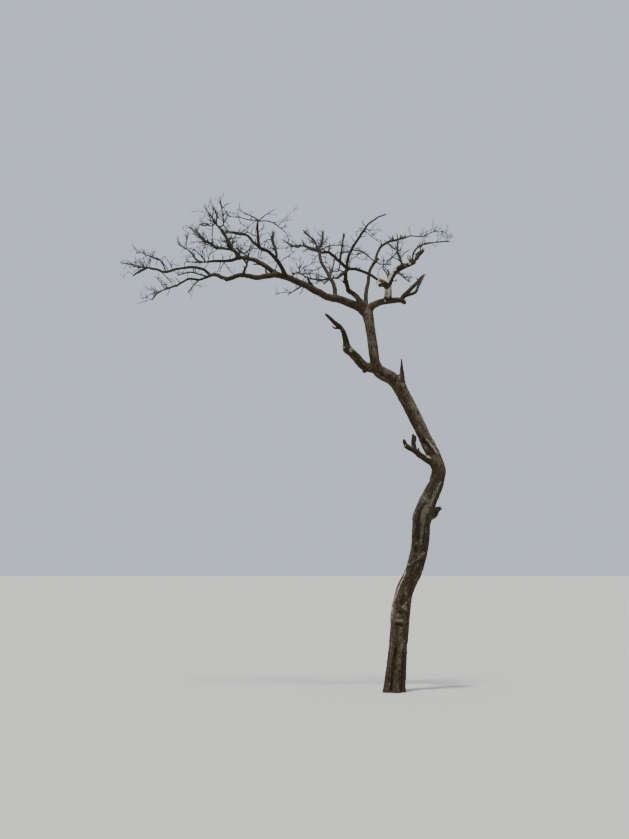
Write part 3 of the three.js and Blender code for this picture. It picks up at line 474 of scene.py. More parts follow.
def dice(seed):
    """A small random source that gives the same draws each time for the same seed."""
    state = (seed * 7919 + 17) % DICE_MOST

    def draw():
        nonlocal state
        state = state * 16807 % DICE_MOST
        return state / DICE_MOST

    draw()
    draw()
    return draw


def shoot_direction(tangent, angle, turn, lift):
    """Off the parent's tangent by an angle, turned round it, then lifted to the light."""
    across = UP if abs(tangent[2]) < STEEP else SIDEWAYS
    right = np.cross(tangent, across)
    right /= np.linalg.norm(right)
    over = np.cross(right, tangent)
    way = tangent * math.cos(angle) + right * math.sin(angle) * math.cos(turn)
    way = way + over * math.sin(angle) * math.sin(turn) + UP * lift
    return way / np.linalg.norm(way)


def twig_line(root, direction, length, radius, draw):
    """A twig of two reaches with a kink between them."""
    middle = root + direction * (length / 2)
    on = direction + np.array([(draw() - 0.5) * TWIG["kink"] for _ in range(3)])
    tip = middle + on / np.linalg.norm(on) * (length / 2)
    return Line([root, middle, tip], [radius, TWIG["tip"]])


def branch(parent, seed, level, share, fits, found):
    """The twigs of one parent line, then their own, down to the last level."""
    count = max(1, math.floor(parent.length / TWIG["spacing"][level] + 0.5))
    for k in range(count):
        draw = dice(seed * 31 + k * 7 + level)
        if draw() > share:
            continue
        first = TWIG["first_at"]
        t = first + (1 - first) * (k + 0.2 + 0.6 * draw()) / count
        angle = math.radians(TWIG["angle"] + TWIG["angle_spread"] * (2 * draw() - 1))
        turn = math.radians(TWIG["turn"] * k + TWIG["turn_spread"] * draw() + seed * 40)
        long = TWIG["shortest"] + TWIG["length_spread"] * draw()
        length = TWIG["length"][level] * long * (1.1 - TWIG["shorter_to_tip"] * t)
        direction = shoot_direction(parent.tangent(t), angle, turn, TWIG["lift"] * draw())
        radius = float(parent.radius(t)) * TWIG["thickness"]
        twig = twig_line(parent.at(t), direction, length, radius, draw)
        if direction[2] < TWIG["lowest"] or not fits(twig):
            continue
        found.append((level, twig))
        if level + 1 < TWIG["levels"]:
            branch(twig, seed * 3 + k + 5, level + 1, TWIG["next_share"][level], fits, found)


# %% [markdown]
# ## Growing the masses
# A twig is kept only if it has room: clear of every limb, and nearer to its own mass's lines than to any
# other mass's. Limbs are taken as rows of beads, which makes that test a few distances.

# %% Beads, room and growth


def beads_of(line):
    """A line as a row of beads: their middles and radii."""
    count = math.ceil(line.length / BEAD_EVERY) + 1
    t = np.arange(count + 1) / count
    return np.column_stack([line.at(t), line.radius(t)])


def clearance(points, beads):
    """The distance from each point to the nearest bead's surface."""
    apart = points[:, None, :] - beads[None, :, :3]
    return (np.sqrt((apart**2).sum(2)) - beads[None, :, 3]).min(1)


def room_in(name):
    """The test of a twig's room in one mass: clear of every limb, and nearest to the mass's own lines."""
    own = mass_beads[name]
    others = np.vstack([beads for other, beads in mass_beads.items() if other != name])

    def fits(twig):
        points = twig.at(TESTED_AT)
        if clearance(points, limb_beads).min() <= LIMB_CLEAR:
            return False
        return bool((clearance(points, own) + OWN_SPACE < clearance(points, others)).all())

    return fits


def grow_mass(name):
    """Every twig of one mass that has room, as pairs of level and line."""
    seed, lines = MASSES[name]
    fits = room_in(name)
    found = []
    for i, row in enumerate(leaders[name]):
        branch(row, seed * 10 + i, 0, lines[i]["twigs"], fits, found)
    return found


limb_beads = np.vstack([beads_of(limb) for limb in limbs.values()])
leaders = {}
for name, (seed, lines) in MASSES.items():
    rows = []
    for entry in lines:
        bearer = limbs[entry["on"]] if entry["on"] in limbs else rows[entry["on"]]
        rows.append(grown_line(bearer, entry))
    leaders[name] = rows
mass_beads = {name: np.vstack([beads_of(row) for row in rows]) for name, rows in leaders.items()}
twigs = {name: grow_mass(name) for name in MASSES}
grown_levels = [level for found in twigs.values() for level, _ in found]
print("twigs at each level:", [grown_levels.count(n) for n in range(TWIG["levels"])])

# %% [markdown]
# ## Noise for living wood
# Wood is never smooth or straight. Two noises are enough: a soft one that swells and dips, and a cellular
# one whose borders make cracks and plates. They are hashed from whole numbers, so no file or luck is in
# them, and they work on a whole array of points at once.

# %% Soft noise and cells


def lattice(i, j, k, seed):
    """A hashed whole number for each corner of a grid."""
    h = i.astype(np.uint32) * np.uint32(73856093)
    h ^= j.astype(np.uint32) * np.uint32(19349663)
    h ^= k.astype(np.uint32) * np.uint32(83492791)
    h ^= np.uint32((seed * 2654435761) % 2**32)
    h ^= h >> np.uint32(13)
    h *= np.uint32(1274126177)
    h ^= h >> np.uint32(16)
    h *= np.uint32(2246822519)
    return h ^ (h >> np.uint32(15))


def unit_parts(h):
    """Three numbers from -1 to 1 out of one hashed number."""
    low = np.uint32(1023)
    parts = (h & low, (h >> np.uint32(10)) & low, (h >> np.uint32(20)) & low)
    return [part.astype(np.float32) / 511.5 - 1 for part in parts]


def soft_noise(points, seed=0):
    """Gradient noise from about -1 to 1, with bumps a unit or so apart."""
    base = np.floor(points).astype(np.int64)
    inside = (points - base).astype(np.float32)
    fade = inside**3 * (inside * (inside * 6 - 15) + 10)
    total = np.zeros(len(points), np.float32)
    for dx in (0, 1):
        for dy in (0, 1):
            for dz in (0, 1):
                h = lattice(base[:, 0] + dx, base[:, 1] + dy, base[:, 2] + dz, seed)
                gx, gy, gz = unit_parts(h)
                slope = gx * (inside[:, 0] - dx) + gy * (inside[:, 1] - dy) + gz * (inside[:, 2] - dz)
                wx = fade[:, 0] if dx else 1 - fade[:, 0]
                wy = fade[:, 1] if dy else 1 - fade[:, 1]
                wz = fade[:, 2] if dz else 1 - fade[:, 2]
                total += slope * wx * wy * wz
    return total * 1.4


def layered_noise(points, octaves, seed=0):
    """Soft noise with finer and fainter copies of itself on top."""
    return sum(soft_noise(points * 2**n, seed + 17 * n) / 2**n for n in range(octaves))


def cells(points, seed=0):
    """The gap between the two nearest cell middles, 0 on a border, and the nearest cell's own number."""
    base = np.floor(points).astype(np.int64)
    nearest = np.full(len(points), 9.0, np.float32)
    second = np.full(len(points), 9.0, np.float32)
    number = np.zeros(len(points), np.float32)
    for dx in (-1, 0, 1):
        for dy in (-1, 0, 1):
            for dz in (-1, 0, 1):
                corner = base + (dx, dy, dz)
                jx, jy, jz = unit_parts(lattice(corner[:, 0], corner[:, 1], corner[:, 2], seed))
                middle = corner + 0.5 + 0.42 * np.stack([jx, jy, jz], 1)
                far = np.sqrt(((points - middle) ** 2).sum(1)).astype(np.float32)
                closer = far < nearest
                second = np.where(closer, nearest, np.minimum(second, far))
                number = np.where(closer, jx, number)
                nearest = np.where(closer, far, nearest)
    return second - nearest, number


def smooth_step(low, high, value):
    """A soft step from 0 at the low value to 1 at the high one."""
    s = np.clip((value - low) / (high - low), 0, 1)
    return s * s * (3 - 2 * s)


# %% [markdown]
# ## Crooked growth
# An acacia's thin wood goes in little zigzags. One gentle push, which depends only on the place in space,
# is given to every bough and twig, so what grows on something still meets it after the push.

# %% The push that makes thin wood crooked
CROOK = ((0.011, 5.5, 3), (0.0045, 13.0, 9))


def crooked(points):
    """Points pushed a little sideways; (size, bumps a metre, seed) for each layer of the push."""
    pushed = points.copy()
    for size, bumps, seed in CROOK:
        push = [soft_noise(points * bumps, seed + 31 * axis) for axis in range(3)]
        pushed += size * np.stack(push, 1)
    return pushed


# %% [markdown]
# ## Even steps along a limb
# The skin and the bark's grain both need to know where they are on a limb: how far along, and on which
# side. So each limb becomes a row of even samples with a small frame of directions carried along it
# without twisting. The first direction starts towards the front of the tree.

# %% Samples with frames
SAMPLE_EVERY = 0.012
FINE_STEPS = 900
FRONT = np.array([0.0, -1.0, 0.0])
STRAIGHT = ("trunk",)
TIP_FROM = 0.9
TIP_RUN = 0.2
TIP_MOST = 0.45
TIP_THIN = 0.97
TIP_FADE = 0.35
LIMB_STEPS, STEM_STEPS = 40, 6


def even_samples(line, every, crook):
    """Points at even steps along a line, with their radii."""
    fine = np.linspace(0, 1, FINE_STEPS)
    path = line.at(fine)
    if crook:
        path = crooked(path)
    run = np.concatenate([[0], np.cumsum(np.linalg.norm(np.diff(path, axis=0), axis=1))])
    steps = max(2, round(run[-1] / every))
    even_run = np.linspace(0, run[-1], steps + 1)
    where = np.interp(even_run, run, fine)
    middle = np.stack([np.interp(where, fine, path[:, axis]) for axis in range(3)], 1)
    return middle, line.radius(where), even_run, where


def carried_frames(middle):
    """A tangent and two directions across it at each sample, carried along without twisting."""
    tangent = np.gradient(middle, axis=0)
    tangent /= np.linalg.norm(tangent, axis=1)[:, None]
    across = FRONT - tangent[0] * (FRONT @ tangent[0])
    if np.linalg.norm(across) < 0.2:
        across = UP - tangent[0] * (UP @ tangent[0])
    normals = []
    for way in tangent:
        across = across - way * (across @ way)
        across = across / np.linalg.norm(across)
        normals.append(across)
    normal = np.array(normals)
    return tangent, normal, np.cross(tangent, normal)


def tip_run(name):
    """The start of the twigs' stem past a bough's tip, so that the bark thins into it without a step."""
    for mass, (_, lines) in MASSES.items():
        if lines[0]["on"] == name and lines[0]["at"] >= TIP_FROM:
            return leaders[mass][0]
    return None


def skin_line(name, limb):
    """A limb's own line and, past a tip that carries twigs, the first part of their stem."""
    stem = tip_run(name)
    if stem is None:
        return limb
    share = min(TIP_MOST, TIP_RUN / stem.length)
    t = np.linspace(0, 0.94, LIMB_STEPS)
    s = np.linspace(0.3, 1, STEM_STEPS) * share
    fade = TIP_FADE * np.linspace(0.8, 0, STEM_STEPS) ** 1.5
    stem_radii = stem.radius(s) * TIP_THIN + fade * (limb.radii[-1] - stem.radii[0])
    return Line(np.vstack([limb.at(t), stem.at(s)]), np.concatenate([limb.radius(t), stem_radii]))


THICK_BARK = dict(right_low_bough=1.18, right_low_fork=1.25, rising_bough=1.12, rising_top_bough=1.12)
lines_of_skin = {name: skin_line(name, limb) for name, limb in limbs.items()}
for name, more in THICK_BARK.items():
    lines_of_skin[name].radii = lines_of_skin[name].radii * more
for name, peg in PEGS.items():
    lines_of_skin[name] = grown_line(limbs[peg["on"]], peg)
limb_names = list(lines_of_skin)
rows = []
for number, name in enumerate(limb_names):
    middle, radius, run, share = even_samples(lines_of_skin[name], SAMPLE_EVERY, name not in STRAIGHT)
    tangent, normal, binormal = carried_frames(middle)
    ends = np.zeros(len(run))
    ends[0], ends[-1] = -1, 1
    number_row = np.full(len(run), number)
    rows.append(np.column_stack([middle, tangent, normal, binormal, radius, run, number_row, ends, share]))
samples = np.vstack(rows)
MIDDLE, TANGENT, NORMAL, BINORMAL = (samples[:, k:k + 3] for k in (0, 3, 6, 9))
RADIUS, RUN, LIMB, END, SHARE = (samples[:, k] for k in range(12, 17))
LIMB = LIMB.astype(int)
LIMB_SLICES = [slice(*(np.flatnonzero(LIMB == n)[[0, -1]] + (0, 1))) for n in range(len(limb_names))]
LAST_SAMPLE = np.array([rows_of.stop - 1 for rows_of in LIMB_SLICES])
print("samples along the limbs:", len(samples))


def slice_of(name):
    """Which samples are a limb's."""
    return LIMB_SLICES[limb_names.index(name)]

# %% [markdown]
# ## Sweeping lines into tubes
# Limbs, leaders and twigs all start as bare lines with a thickness at each point. One Geometry Nodes tree
# turns any of them into closed tubes: lines to curves, a small circle swept along, and then a material.
# The same tree with other inputs makes everything from the trunk to the finest twig.

# %% The tube tree


WOOD_NAMES = ("Wood", "Young wood", "Dead wood")


def new_tree(name, inputs):
    """An empty geometry tree: what it is given, its end, and each input's identifier by its name."""
    tree = bpy.data.node_groups.new(name, "GeometryNodeTree")
    for way in ("INPUT", "OUTPUT"):
        tree.interface.new_socket(name="Geometry", in_out=way, socket_type="NodeSocketGeometry")
    ids = {}
    for key, (kind, value) in inputs.items():
        socket = tree.interface.new_socket(name=key, in_out="INPUT", socket_type="NodeSocket" + kind)
        if value is not None:
            socket.default_value = value
        ids[key] = socket.identifier
    return tree, tree.nodes.new("NodeGroupInput").outputs, tree.nodes.new("NodeGroupOutput").inputs, ids


def feed(tree, socket, value):
    """Link another node's output to a socket, or give the socket a plain value."""
    if isinstance(value, bpy.types.NodeSocket):
        tree.links.new(value, socket)
    elif socket.type == "RGBA":
        socket.default_value = (*value, 1)
    else:
        socket.default_value = value


def input_of(node, key):
    """A node's input by number or name, or by identifier where several have the same name."""
    if isinstance(key, int) or key in node.inputs:
        return node.inputs[key]
    return next(socket for socket in node.inputs if socket.identifier == key)


def add(tree, kind, inputs=(), **settings):
    """A new node with its settings and inputs."""
    node = tree.nodes.new(kind)
    for setting, value in settings.items():
        setattr(node, setting, value)
    for key, value in dict(inputs).items():
        feed(tree, input_of(node, key), value)
    return node


def make_tube_tree():
    """Lines with a thickness become closed tubes, in woods told apart by an attribute."""
    woods = {name: ("Material", None) for name in WOOD_NAMES}
    tree, given, end, ids = new_tree("tubes along lines", {"Sides": ("Int", 8), **woods})
    curve = add(tree, "GeometryNodeMeshToCurve", {"Mesh": given["Geometry"]})
    circle = add(tree, "GeometryNodeCurvePrimitiveCircle", {"Resolution": given["Sides"], "Radius": 1})
    thick = add(tree, "GeometryNodeInputNamedAttribute", {"Name": "thick"}, data_type="FLOAT")
    sweep = add(tree, "GeometryNodeCurveToMesh", {
        "Curve": curve.outputs["Curve"],
        "Profile Curve": circle.outputs["Curve"],
        "Scale": thick.outputs["Attribute"],
        "Fill Caps": True,
    })
    realize = add(tree, "GeometryNodeRealizeInstances", {"Geometry": sweep.outputs["Mesh"]})
    last = realize.outputs["Geometry"]
    for number, name in enumerate(WOOD_NAMES):
        wood = add(tree, "GeometryNodeInputNamedAttribute", {"Name": "wood"}, data_type="INT")
        same = {"A_INT": wood.outputs["Attribute"], "B_INT": number}
        is_wood = add(tree, "FunctionNodeCompare", same, data_type="INT", operation="EQUAL")
        paint = add(tree, "GeometryNodeSetMaterial", {
            "Geometry": last,
            "Selection": is_wood.outputs["Result"],
            "Material": given[name],
        })
        last = paint.outputs["Geometry"]
    feed(tree, end["Geometry"], last)
    return tree, ids


def lines_object(name, paths):
    """One object of bare lines. A path is its points, their radii and the number of its wood."""
    points = np.vstack([path[0] for path in paths])
    thick = np.concatenate([path[1] for path in paths])
    wood = np.concatenate([np.full(len(path[0]), path[2]) for path in paths])
    starts = np.cumsum([0] + [len(path[0]) for path in paths])
    edges = [np.column_stack([np.arange(a, b - 1), np.arange(a + 1, b)]) for a, b in zip(starts, starts[1:])]
    edges = np.vstack(edges)
    mesh = bpy.data.meshes.new(name)
    mesh.vertices.add(len(points))
    mesh.vertices.foreach_set("co", points.astype(np.float32).ravel())
    mesh.edges.add(len(edges))
    mesh.edges.foreach_set("vertices", edges.astype(np.int32).ravel())
    store(mesh, "thick", "FLOAT", thick)
    store(mesh, "wood", "INT", wood)
    mesh.update()
    return show(name, mesh)


def store(mesh, name, kind, values):
    """Keep one number or vector for each point of a mesh."""
    field = "vector" if kind == "FLOAT_VECTOR" else "value"
    numbers = np.asarray(values, np.int32 if kind == "INT" else np.float32)
    mesh.attributes.new(name, kind, "POINT").data.foreach_set(field, numbers.ravel())


def show(name, mesh):
    """An object for a mesh, at the origin."""
    piece = bpy.data.objects.new(name, mesh)
    bpy.context.scene.collection.objects.link(piece)
    return piece


def evaluated(piece):
    """The plain mesh that an object's modifiers make."""
    graph = bpy.context.evaluated_depsgraph_get()
    return bpy.data.meshes.new_from_object(piece.evaluated_get(graph))


def worked_out(source, name, tree, ids, values):
    """The plain mesh that a geometry tree makes of an object, which then goes."""
    modifier = source.modifiers.new(name, "NODES")
    modifier.node_group = tree
    for key, value in values.items():
        modifier[ids[key]] = value
    mesh = evaluated(source)
    mesh.name = name
    old = source.data
    bpy.data.objects.remove(source)
    bpy.data.meshes.remove(old)
    return mesh


TUBE_TREE, TUBE_IDS = make_tube_tree()


def tubes(name, paths, sides, woods=()):
    """A mesh of closed tubes along paths."""
    values = {"Sides": sides, **dict(zip(WOOD_NAMES, woods))}
    return worked_out(lines_object(name, paths), name, TUBE_TREE, TUBE_IDS, values)


# %% [markdown]
# ## A rough skin round all the limbs
# Tubes that only poke into each other leave hard creases where real wood flows together. So the tubes are
# first wrapped in one closed skin by a voxel remesh, which knows nothing of where one limb ends. It comes
# out a little stepped, and the next step pulls it smooth.

# %% Wrap the limbs
SKIN_CELL = 0.0095
ROUGH_SIDES = 20


def rough_skin():
    """The tubes of all limbs, with half of their samples, wrapped in one skin."""
    paths = []
    for rows_of in LIMB_SLICES:
        picked = np.arange(rows_of.start, rows_of.stop, 2)
        if picked[-1] < rows_of.stop - 1:
            picked = np.append(picked, rows_of.stop - 1)
        paths.append((MIDDLE[picked], RADIUS[picked], 0))
    piece = show("rough", tubes("rough tubes", paths, ROUGH_SIDES))
    wrap = piece.modifiers.new("wrap", "REMESH")
    wrap.mode = "VOXEL"
    wrap.voxel_size = SKIN_CELL
    mesh = evaluated(piece)
    bpy.data.objects.remove(piece)
    return mesh


def outer_shell(quads, count):
    """Which points are on the one largest shell: the tubes' overlaps can leave small ones inside."""
    label = np.arange(count)
    while True:
        lower = label.copy()
        np.minimum.at(lower, quads.ravel(), np.repeat(label[quads].min(1), 4))
        lower = lower[lower]
        if (lower == label).all():
            return label == np.bincount(label).argmax()
        label = lower


skin = rough_skin()
POINTS = np.empty(len(skin.vertices) * 3, np.float32)
skin.vertices.foreach_get("co", POINTS)
POINTS = POINTS.reshape(-1, 3).astype(float)
QUADS = np.empty(len(skin.polygons) * 4, np.int32)
skin.polygons.foreach_get("vertices", QUADS)
QUADS = QUADS.reshape(-1, 4)
OUTER = outer_shell(QUADS, len(POINTS))
QUADS = (np.cumsum(OUTER) - 1)[QUADS[OUTER[QUADS[:, 0]]]]
POINTS = POINTS[OUTER]
print("points left out inside:", int((~OUTER).sum()))
print("rough skin:", len(POINTS), "points,", len(QUADS), "quads")

# %% [markdown]
# ## Where a point is on the limbs
# For each point of the skin: which limbs are nearest, how far along them it is, on which side, and how
# far it stands from their surface. Everything after this, from the smooth forks to the grain of the bark,
# is asked of these few numbers.

# %% The nearest limbs of each point
KEPT_LIMBS = 3
NEAR = 0.13
NOWHERE = 9.0
CHUNK = 20000
TAPER = np.concatenate([np.gradient(RADIUS[s], RUN[s]) for s in LIMB_SLICES])


def nearest_limbs(points):
    """The samples of the few limbs that are nearest to each point, nearest first, and their distances."""
    far = np.full((len(points), len(limb_names)), NOWHERE, np.float32)
    pick = np.zeros((len(points), len(limb_names)), np.int32)
    for number, rows_of in enumerate(LIMB_SLICES):
        middle, radius = MIDDLE[rows_of], RADIUS[rows_of]
        reach = radius.max() + NEAR
        low, high = middle.min(0) - reach, middle.max(0) + reach
        near = np.flatnonzero(((points > low) & (points < high)).all(1))
        for a in range(0, len(near), CHUNK):
            some = near[a:a + CHUNK]
            squares = ((points[some] ** 2).sum(1)[:, None] + (middle**2).sum(1)[None]
                       - 2 * points[some] @ middle.T)
            surface = np.sqrt(np.maximum(squares, 0)) - radius[None]
            best = surface.argmin(1)
            pick[some, number] = best + rows_of.start
            far[some, number] = surface[np.arange(len(some)), best]
    order = np.argsort(far, axis=1)[:, :KEPT_LIMBS]
    return np.take_along_axis(pick, order, 1), np.take_along_axis(far, order, 1)


def on_limb(points, pick):
    """Where points are by the limbs' own directions, at a sample each."""
    out = points - MIDDLE[pick]
    along = (out * TANGENT[pick]).sum(1)
    step = np.where(END[pick] == 0, np.round(along / SAMPLE_EVERY), 0).astype(int)
    stepped = np.clip(pick + step, 0, len(LIMB) - 1)
    pick = np.where(LIMB[stepped] == LIMB[pick], stepped, pick)
    out = points - MIDDLE[pick]
    along = (out * TANGENT[pick]).sum(1)
    radial = out - along[:, None] * TANGENT[pick]
    off = np.sqrt((radial**2).sum(1)) + 1e-9
    x = (radial * NORMAL[pick]).sum(1)
    y = (radial * BINORMAL[pick]).sum(1)
    return pick, along, radial / off[:, None], off, x, y


# %% [markdown]
# ## One smooth surface through the forks
# The distance to each limb's surface is known, so a smooth minimum of those distances is the distance to
# wood that flows from limb to limb, thicker in the crotch of a fork, as real collars are. The skin's points
# slide onto that surface. Snapped ends are cut on a slant and left jagged; the others are round.

# %% Pull the skin onto the limbs
COLLAR = 0.24
THINNEST_COLLAR, THICKEST_COLLAR = 0.0015, 0.03
THINNEST_LIMB = 0.002
TORN_DEEP = 0.16
TORN_ROUGH = 1.8
TORN_GRAIN = 0.014
TORN_EDGE = 0.18
TORN_REACH = 2.5
PULLS = 4
LONGEST_PULL = 0.02
SNAPPED = {
    "dead_limb_lower": (0.0, 0.0, 0.3),
    "left_stub": (-0.3, -0.2, 0.5),
    "left_stub_horn": (0.4, 0.0, 0.0),
    "left_stub_spike": (-0.5, 0.2, 0.0),
    "right_stub": (0.1, -0.4, 0.2),
    "right_bough": (0.2, -0.3, 0.5),
    "right_top_stub": (-0.5, -0.4, 0.0),
    "right_low_fork": (0.0, 0.3, 0.3),
    "shoulder_spike": (0.3, -0.3, 0.0),
    "limb_knuckle": (0.0, -0.3, 0.4),
    "upper_peg": (0.0, 0.4, 0.2),
    "pale_knob": (0.55, -0.45, 1.1),
    "top_swell": (-0.5, -0.4, 0.0),
    "pale_horn": (0.3, -0.3, 0.0),
    "horn_tip": (0.4, 0.0, 0.0),
    "hanging_link": (0.2, 0.2, 0.0),
}
SLANT = np.zeros((len(limb_names), 3))
JAG = np.zeros(len(limb_names))
for name, slant in SNAPPED.items():
    SLANT[limb_names.index(name)] = slant
    JAG[limb_names.index(name)] = TORN_DEEP
FLARED = limb_names.index("trunk")


def trunk_place(height, facing):
    """A point on the trunk's surface at a height in millimetres, on the side that it faces, in degrees."""
    middles, radii = MIDDLE[slice_of("trunk")], RADIUS[slice_of("trunk")]
    middle = np.array([np.interp(height * MM, middles[:, 2], middles[:, axis]) for axis in range(3)])
    radius = np.interp(height * MM, middles[:, 2], radii)
    turn = math.radians(facing)
    return middle + radius * np.array([math.cos(turn), math.sin(turn), 0])


def distance_to_route(points, route):
    """How far points are from a row of straight pieces."""
    best = np.full(len(points), NOWHERE)
    for start, end in zip(route[:-1], route[1:]):
        way = end - start
        share = np.clip((points - start) @ way / (way @ way), 0, 1)
        best = np.minimum(best, np.linalg.norm(points - start - share[:, None] * way, axis=1))
    return best


FORM_ROUTES = {}
for form, (wide, deep, route) in FORMS.items():
    FORM_ROUTES[form] = (wide * MM, deep * MM, np.array([trunk_place(*place) for place in route]))
FELT = 2.6


def trunk_rise(points, outward, radius):
    """How far the trunk stands over its plain tube: root flare, sinews, hollows and ridges."""
    facing = np.arctan2(outward[:, 1], outward[:, 0])
    low = np.exp(-np.maximum(points[:, 2], 0) / ROOT_FLARE["height"])
    share = ROOT_FLARE["depth"] * low * np.cos(ROOT_FLARE["lobes"] * facing + ROOT_FLARE["turn"])
    for sinew in SINEWS:
        phase = sinew["lobes"] * facing + 2 * math.pi * points[:, 2] / sinew["winding"] + sinew["start"]
        share = share + sinew["share"] * np.cos(phase)
    rise = radius * share
    for wide, deep, route in FORM_ROUTES.values():
        low_corner, high_corner = route.min(0) - FELT * wide, route.max(0) + FELT * wide
        near = np.flatnonzero(((points > low_corner) & (points < high_corner)).all(1))
        if len(near):
            rise[near] -= deep * np.exp(-(distance_to_route(points[near], route) / wide) ** 2)
    return rise


def limb_distance(points, pick):
    """The distance from each point to a limb's surface, and the way straight out of it."""
    pick, along, radial, off, x, y = on_limb(points, pick)
    limb = LIMB[pick]
    tip = LAST_SAMPLE[limb]
    radius = RADIUS[pick] + TAPER[pick] * np.where(END[pick] == 0, along, 0)
    radius = np.maximum(radius, THINNEST_LIMB)
    trunk = np.flatnonzero(limb == FLARED)
    middle = points[trunk] - radial[trunk] * off[trunk, None]
    on_tube = middle + radial[trunk] * radius[trunk, None]
    radius[trunk] += trunk_rise(on_tube, radial[trunk], radius[trunk])
    snapped = JAG[limb] > 0
    face = TANGENT[tip] + SLANT[limb]
    face /= np.linalg.norm(face, axis=1)[:, None]
    past = ((points - MIDDLE[tip]) * face).sum(1)
    if snapped.any():
        rough = soft_noise(np.column_stack([x, y, 0 * x]) / TORN_GRAIN + limb[:, None] * 5.1, 71)
        past = past + np.where(snapped, JAG[limb] * RADIUS[tip] * rough * TORN_ROUGH, 0)
    before = np.where(END[pick] == -1, -along, -NOWHERE)
    near_tip = snapped & (RUN[tip] - RUN[pick] < TORN_REACH * RADIUS[tip])
    at_end = (END[pick] == 1) & (along > -0.5 * SAMPLE_EVERY)
    past = np.where(near_tip | at_end, past, -NOWHERE)
    over = np.maximum(past, before)
    edge = np.where(snapped & (past > before), TORN_EDGE * radius, radius)
    a = np.maximum(off - radius + edge, 0)
    b = np.maximum(over + edge, 0)
    reach = np.sqrt(a * a + b * b) + 1e-9
    distance = reach - edge
    ahead = np.where((past > before)[:, None], face, -TANGENT[pick])
    way = (radial * a[:, None] + ahead * b[:, None]) / reach[:, None]
    return distance, way, pick, x, y, along


def blended(points, picks, far):
    """The smooth distance to all the near limbs, the way out, and each limb's share in it."""
    found = [limb_distance(points, picks[:, k]) for k in range(KEPT_LIMBS)]
    distances = np.stack([f[0] for f in found], 1)
    distances = np.where(far < NOWHERE, distances, NOWHERE)
    radii = np.sort(RADIUS[picks], axis=1)
    width = np.clip(COLLAR * radii[:, :1], THINNEST_COLLAR, THICKEST_COLLAR)
    nearest = distances.min(1, keepdims=True)
    weight = np.exp(-(distances - nearest) / width)
    total = weight.sum(1, keepdims=True)
    smooth = (nearest - width * np.log(total))[:, 0]
    weight = weight / total
    way = sum(weight[:, k:k + 1] * found[k][1] for k in range(KEPT_LIMBS))
    return smooth, way, weight, found


PICKS, FAR = nearest_limbs(POINTS)
for _ in range(PULLS):
    smooth, way, _, _ = blended(POINTS, PICKS, FAR)
    length = np.maximum((way**2).sum(1), 0.15)
    POINTS -= way * (np.clip(smooth, -LONGEST_PULL, LONGEST_PULL) / length)[:, None]
smooth, OUTWARD, WEIGHT, found = blended(POINTS, PICKS, FAR)
OUTWARD /= np.linalg.norm(OUTWARD, axis=1)[:, None] + 1e-9
print("left over after pulling, mm:", np.round(np.percentile(np.abs(smooth), (50, 99, 100)) * 1000, 2))

# %% [markdown]
# ## Grain, plates and fissures
# Bark follows the wood it grows on. So its pattern isn't made in the world but in the limb as if it were
# unbent: two numbers across and one along. Flakes are long cells with thin cracked borders, and fissures are
# long wandering lines between the ridges. Both are finer on thinner limbs. The same three numbers are kept
# on the skin as its grain, for the colours.

# %% Relief of the bark
PLATE = np.array([0.030, 0.030, 0.088])
FISSURE = np.array([0.085, 0.085, 0.62])
LUMP = np.array([0.13, 0.13, 0.34])
FINE = np.array([0.014, 0.014, 0.030])
PLATE_HIGH = 0.0042
FISSURE_DEEP = 0.0105
FINE_HIGH = 0.0016
LUMP_SHARE = 0.040
BARK_LIFT = 0.0028
FULL_SIZE = 0.15


def grain_of(pick, x, y, along):
    """The place in the unbent limb, set apart from every other limb's."""
    apart = LIMB[pick] * 3.7
    return np.column_stack([x + apart, y, RUN[pick] + along])


MEAN_RADIUS = np.array([RADIUS[s].mean() for s in LIMB_SLICES])


def bark_size(pick):
    """How coarse the bark is there, from 1 on the trunk down to the thin boughs."""
    return np.clip(np.sqrt(MEAN_RADIUS / FULL_SIZE), 0.34, 1.0)[LIMB[pick]]


def bark_relief(grain, size):
    """The bark's height, how far up on a flake it is, the flake's own number, and the swell of the wood."""
    g = grain / size[:, None]
    wander = np.stack([soft_noise(g / 0.075, 5 + k) for k in range(3)], 1) * (0.45, 0.45, 0.7)
    gap, number = cells(g / PLATE + wander, 11)
    flake = smooth_step(0.02, 0.26, gap)
    fissure = 1 - smooth_step(0.02, 0.20, np.abs(soft_noise(g / FISSURE + wander * 0.35, 23)))
    fine = layered_noise(g / FINE, 2, 37)
    lump = layered_noise(g / LUMP, 2, 41)
    height = PLATE_HIGH * (flake - 0.8 + 0.7 * number) - FISSURE_DEEP * fissure + FINE_HIGH * fine + BARK_LIFT
    return size * height, flake * (1 - 0.6 * fissure), number, lump


heights = np.zeros(len(POINTS))
PLATES = np.zeros(len(POINTS))
FLAKES = np.zeros(len(POINTS))
for k in range(KEPT_LIMBS):
    used = WEIGHT[:, k] > 0.02
    _, _, pick, x, y, along = (value[used] for value in found[k])
    height, flake, number, lump = bark_relief(grain_of(pick, x, y, along), bark_size(pick))
    heights[used] += WEIGHT[used, k] * (height + LUMP_SHARE * RADIUS[pick] * lump)
    PLATES[used] += WEIGHT[used, k] * flake
    FLAKES[used] += WEIGHT[used, k] * number
main = WEIGHT.argmax(1)
PICK, X, Y, ALONG = (np.choose(main, [found[k][item] for k in range(KEPT_LIMBS)]) for item in (2, 3, 4, 5))
GRAIN = grain_of(PICK, X, Y, ALONG)
RUNS = RUN[PICK] + ALONG
TURNS = np.arctan2(Y, X)
SIZE = bark_size(PICK)
OFF = np.sqrt(X**2 + Y**2) + 1e-9
SIDE = (X[:, None] * NORMAL[PICK] + Y[:, None] * BINORMAL[PICK]) / OFF[:, None]
ON_TUBE = POINTS + SIDE * (RADIUS[PICK] - OFF)[:, None]
ON_TRUNK = np.flatnonzero(LIMB[PICK] == FLARED)
print("bark relief, mm:", np.round(np.percentile(heights, (1, 50, 99)) * 1000, 1))

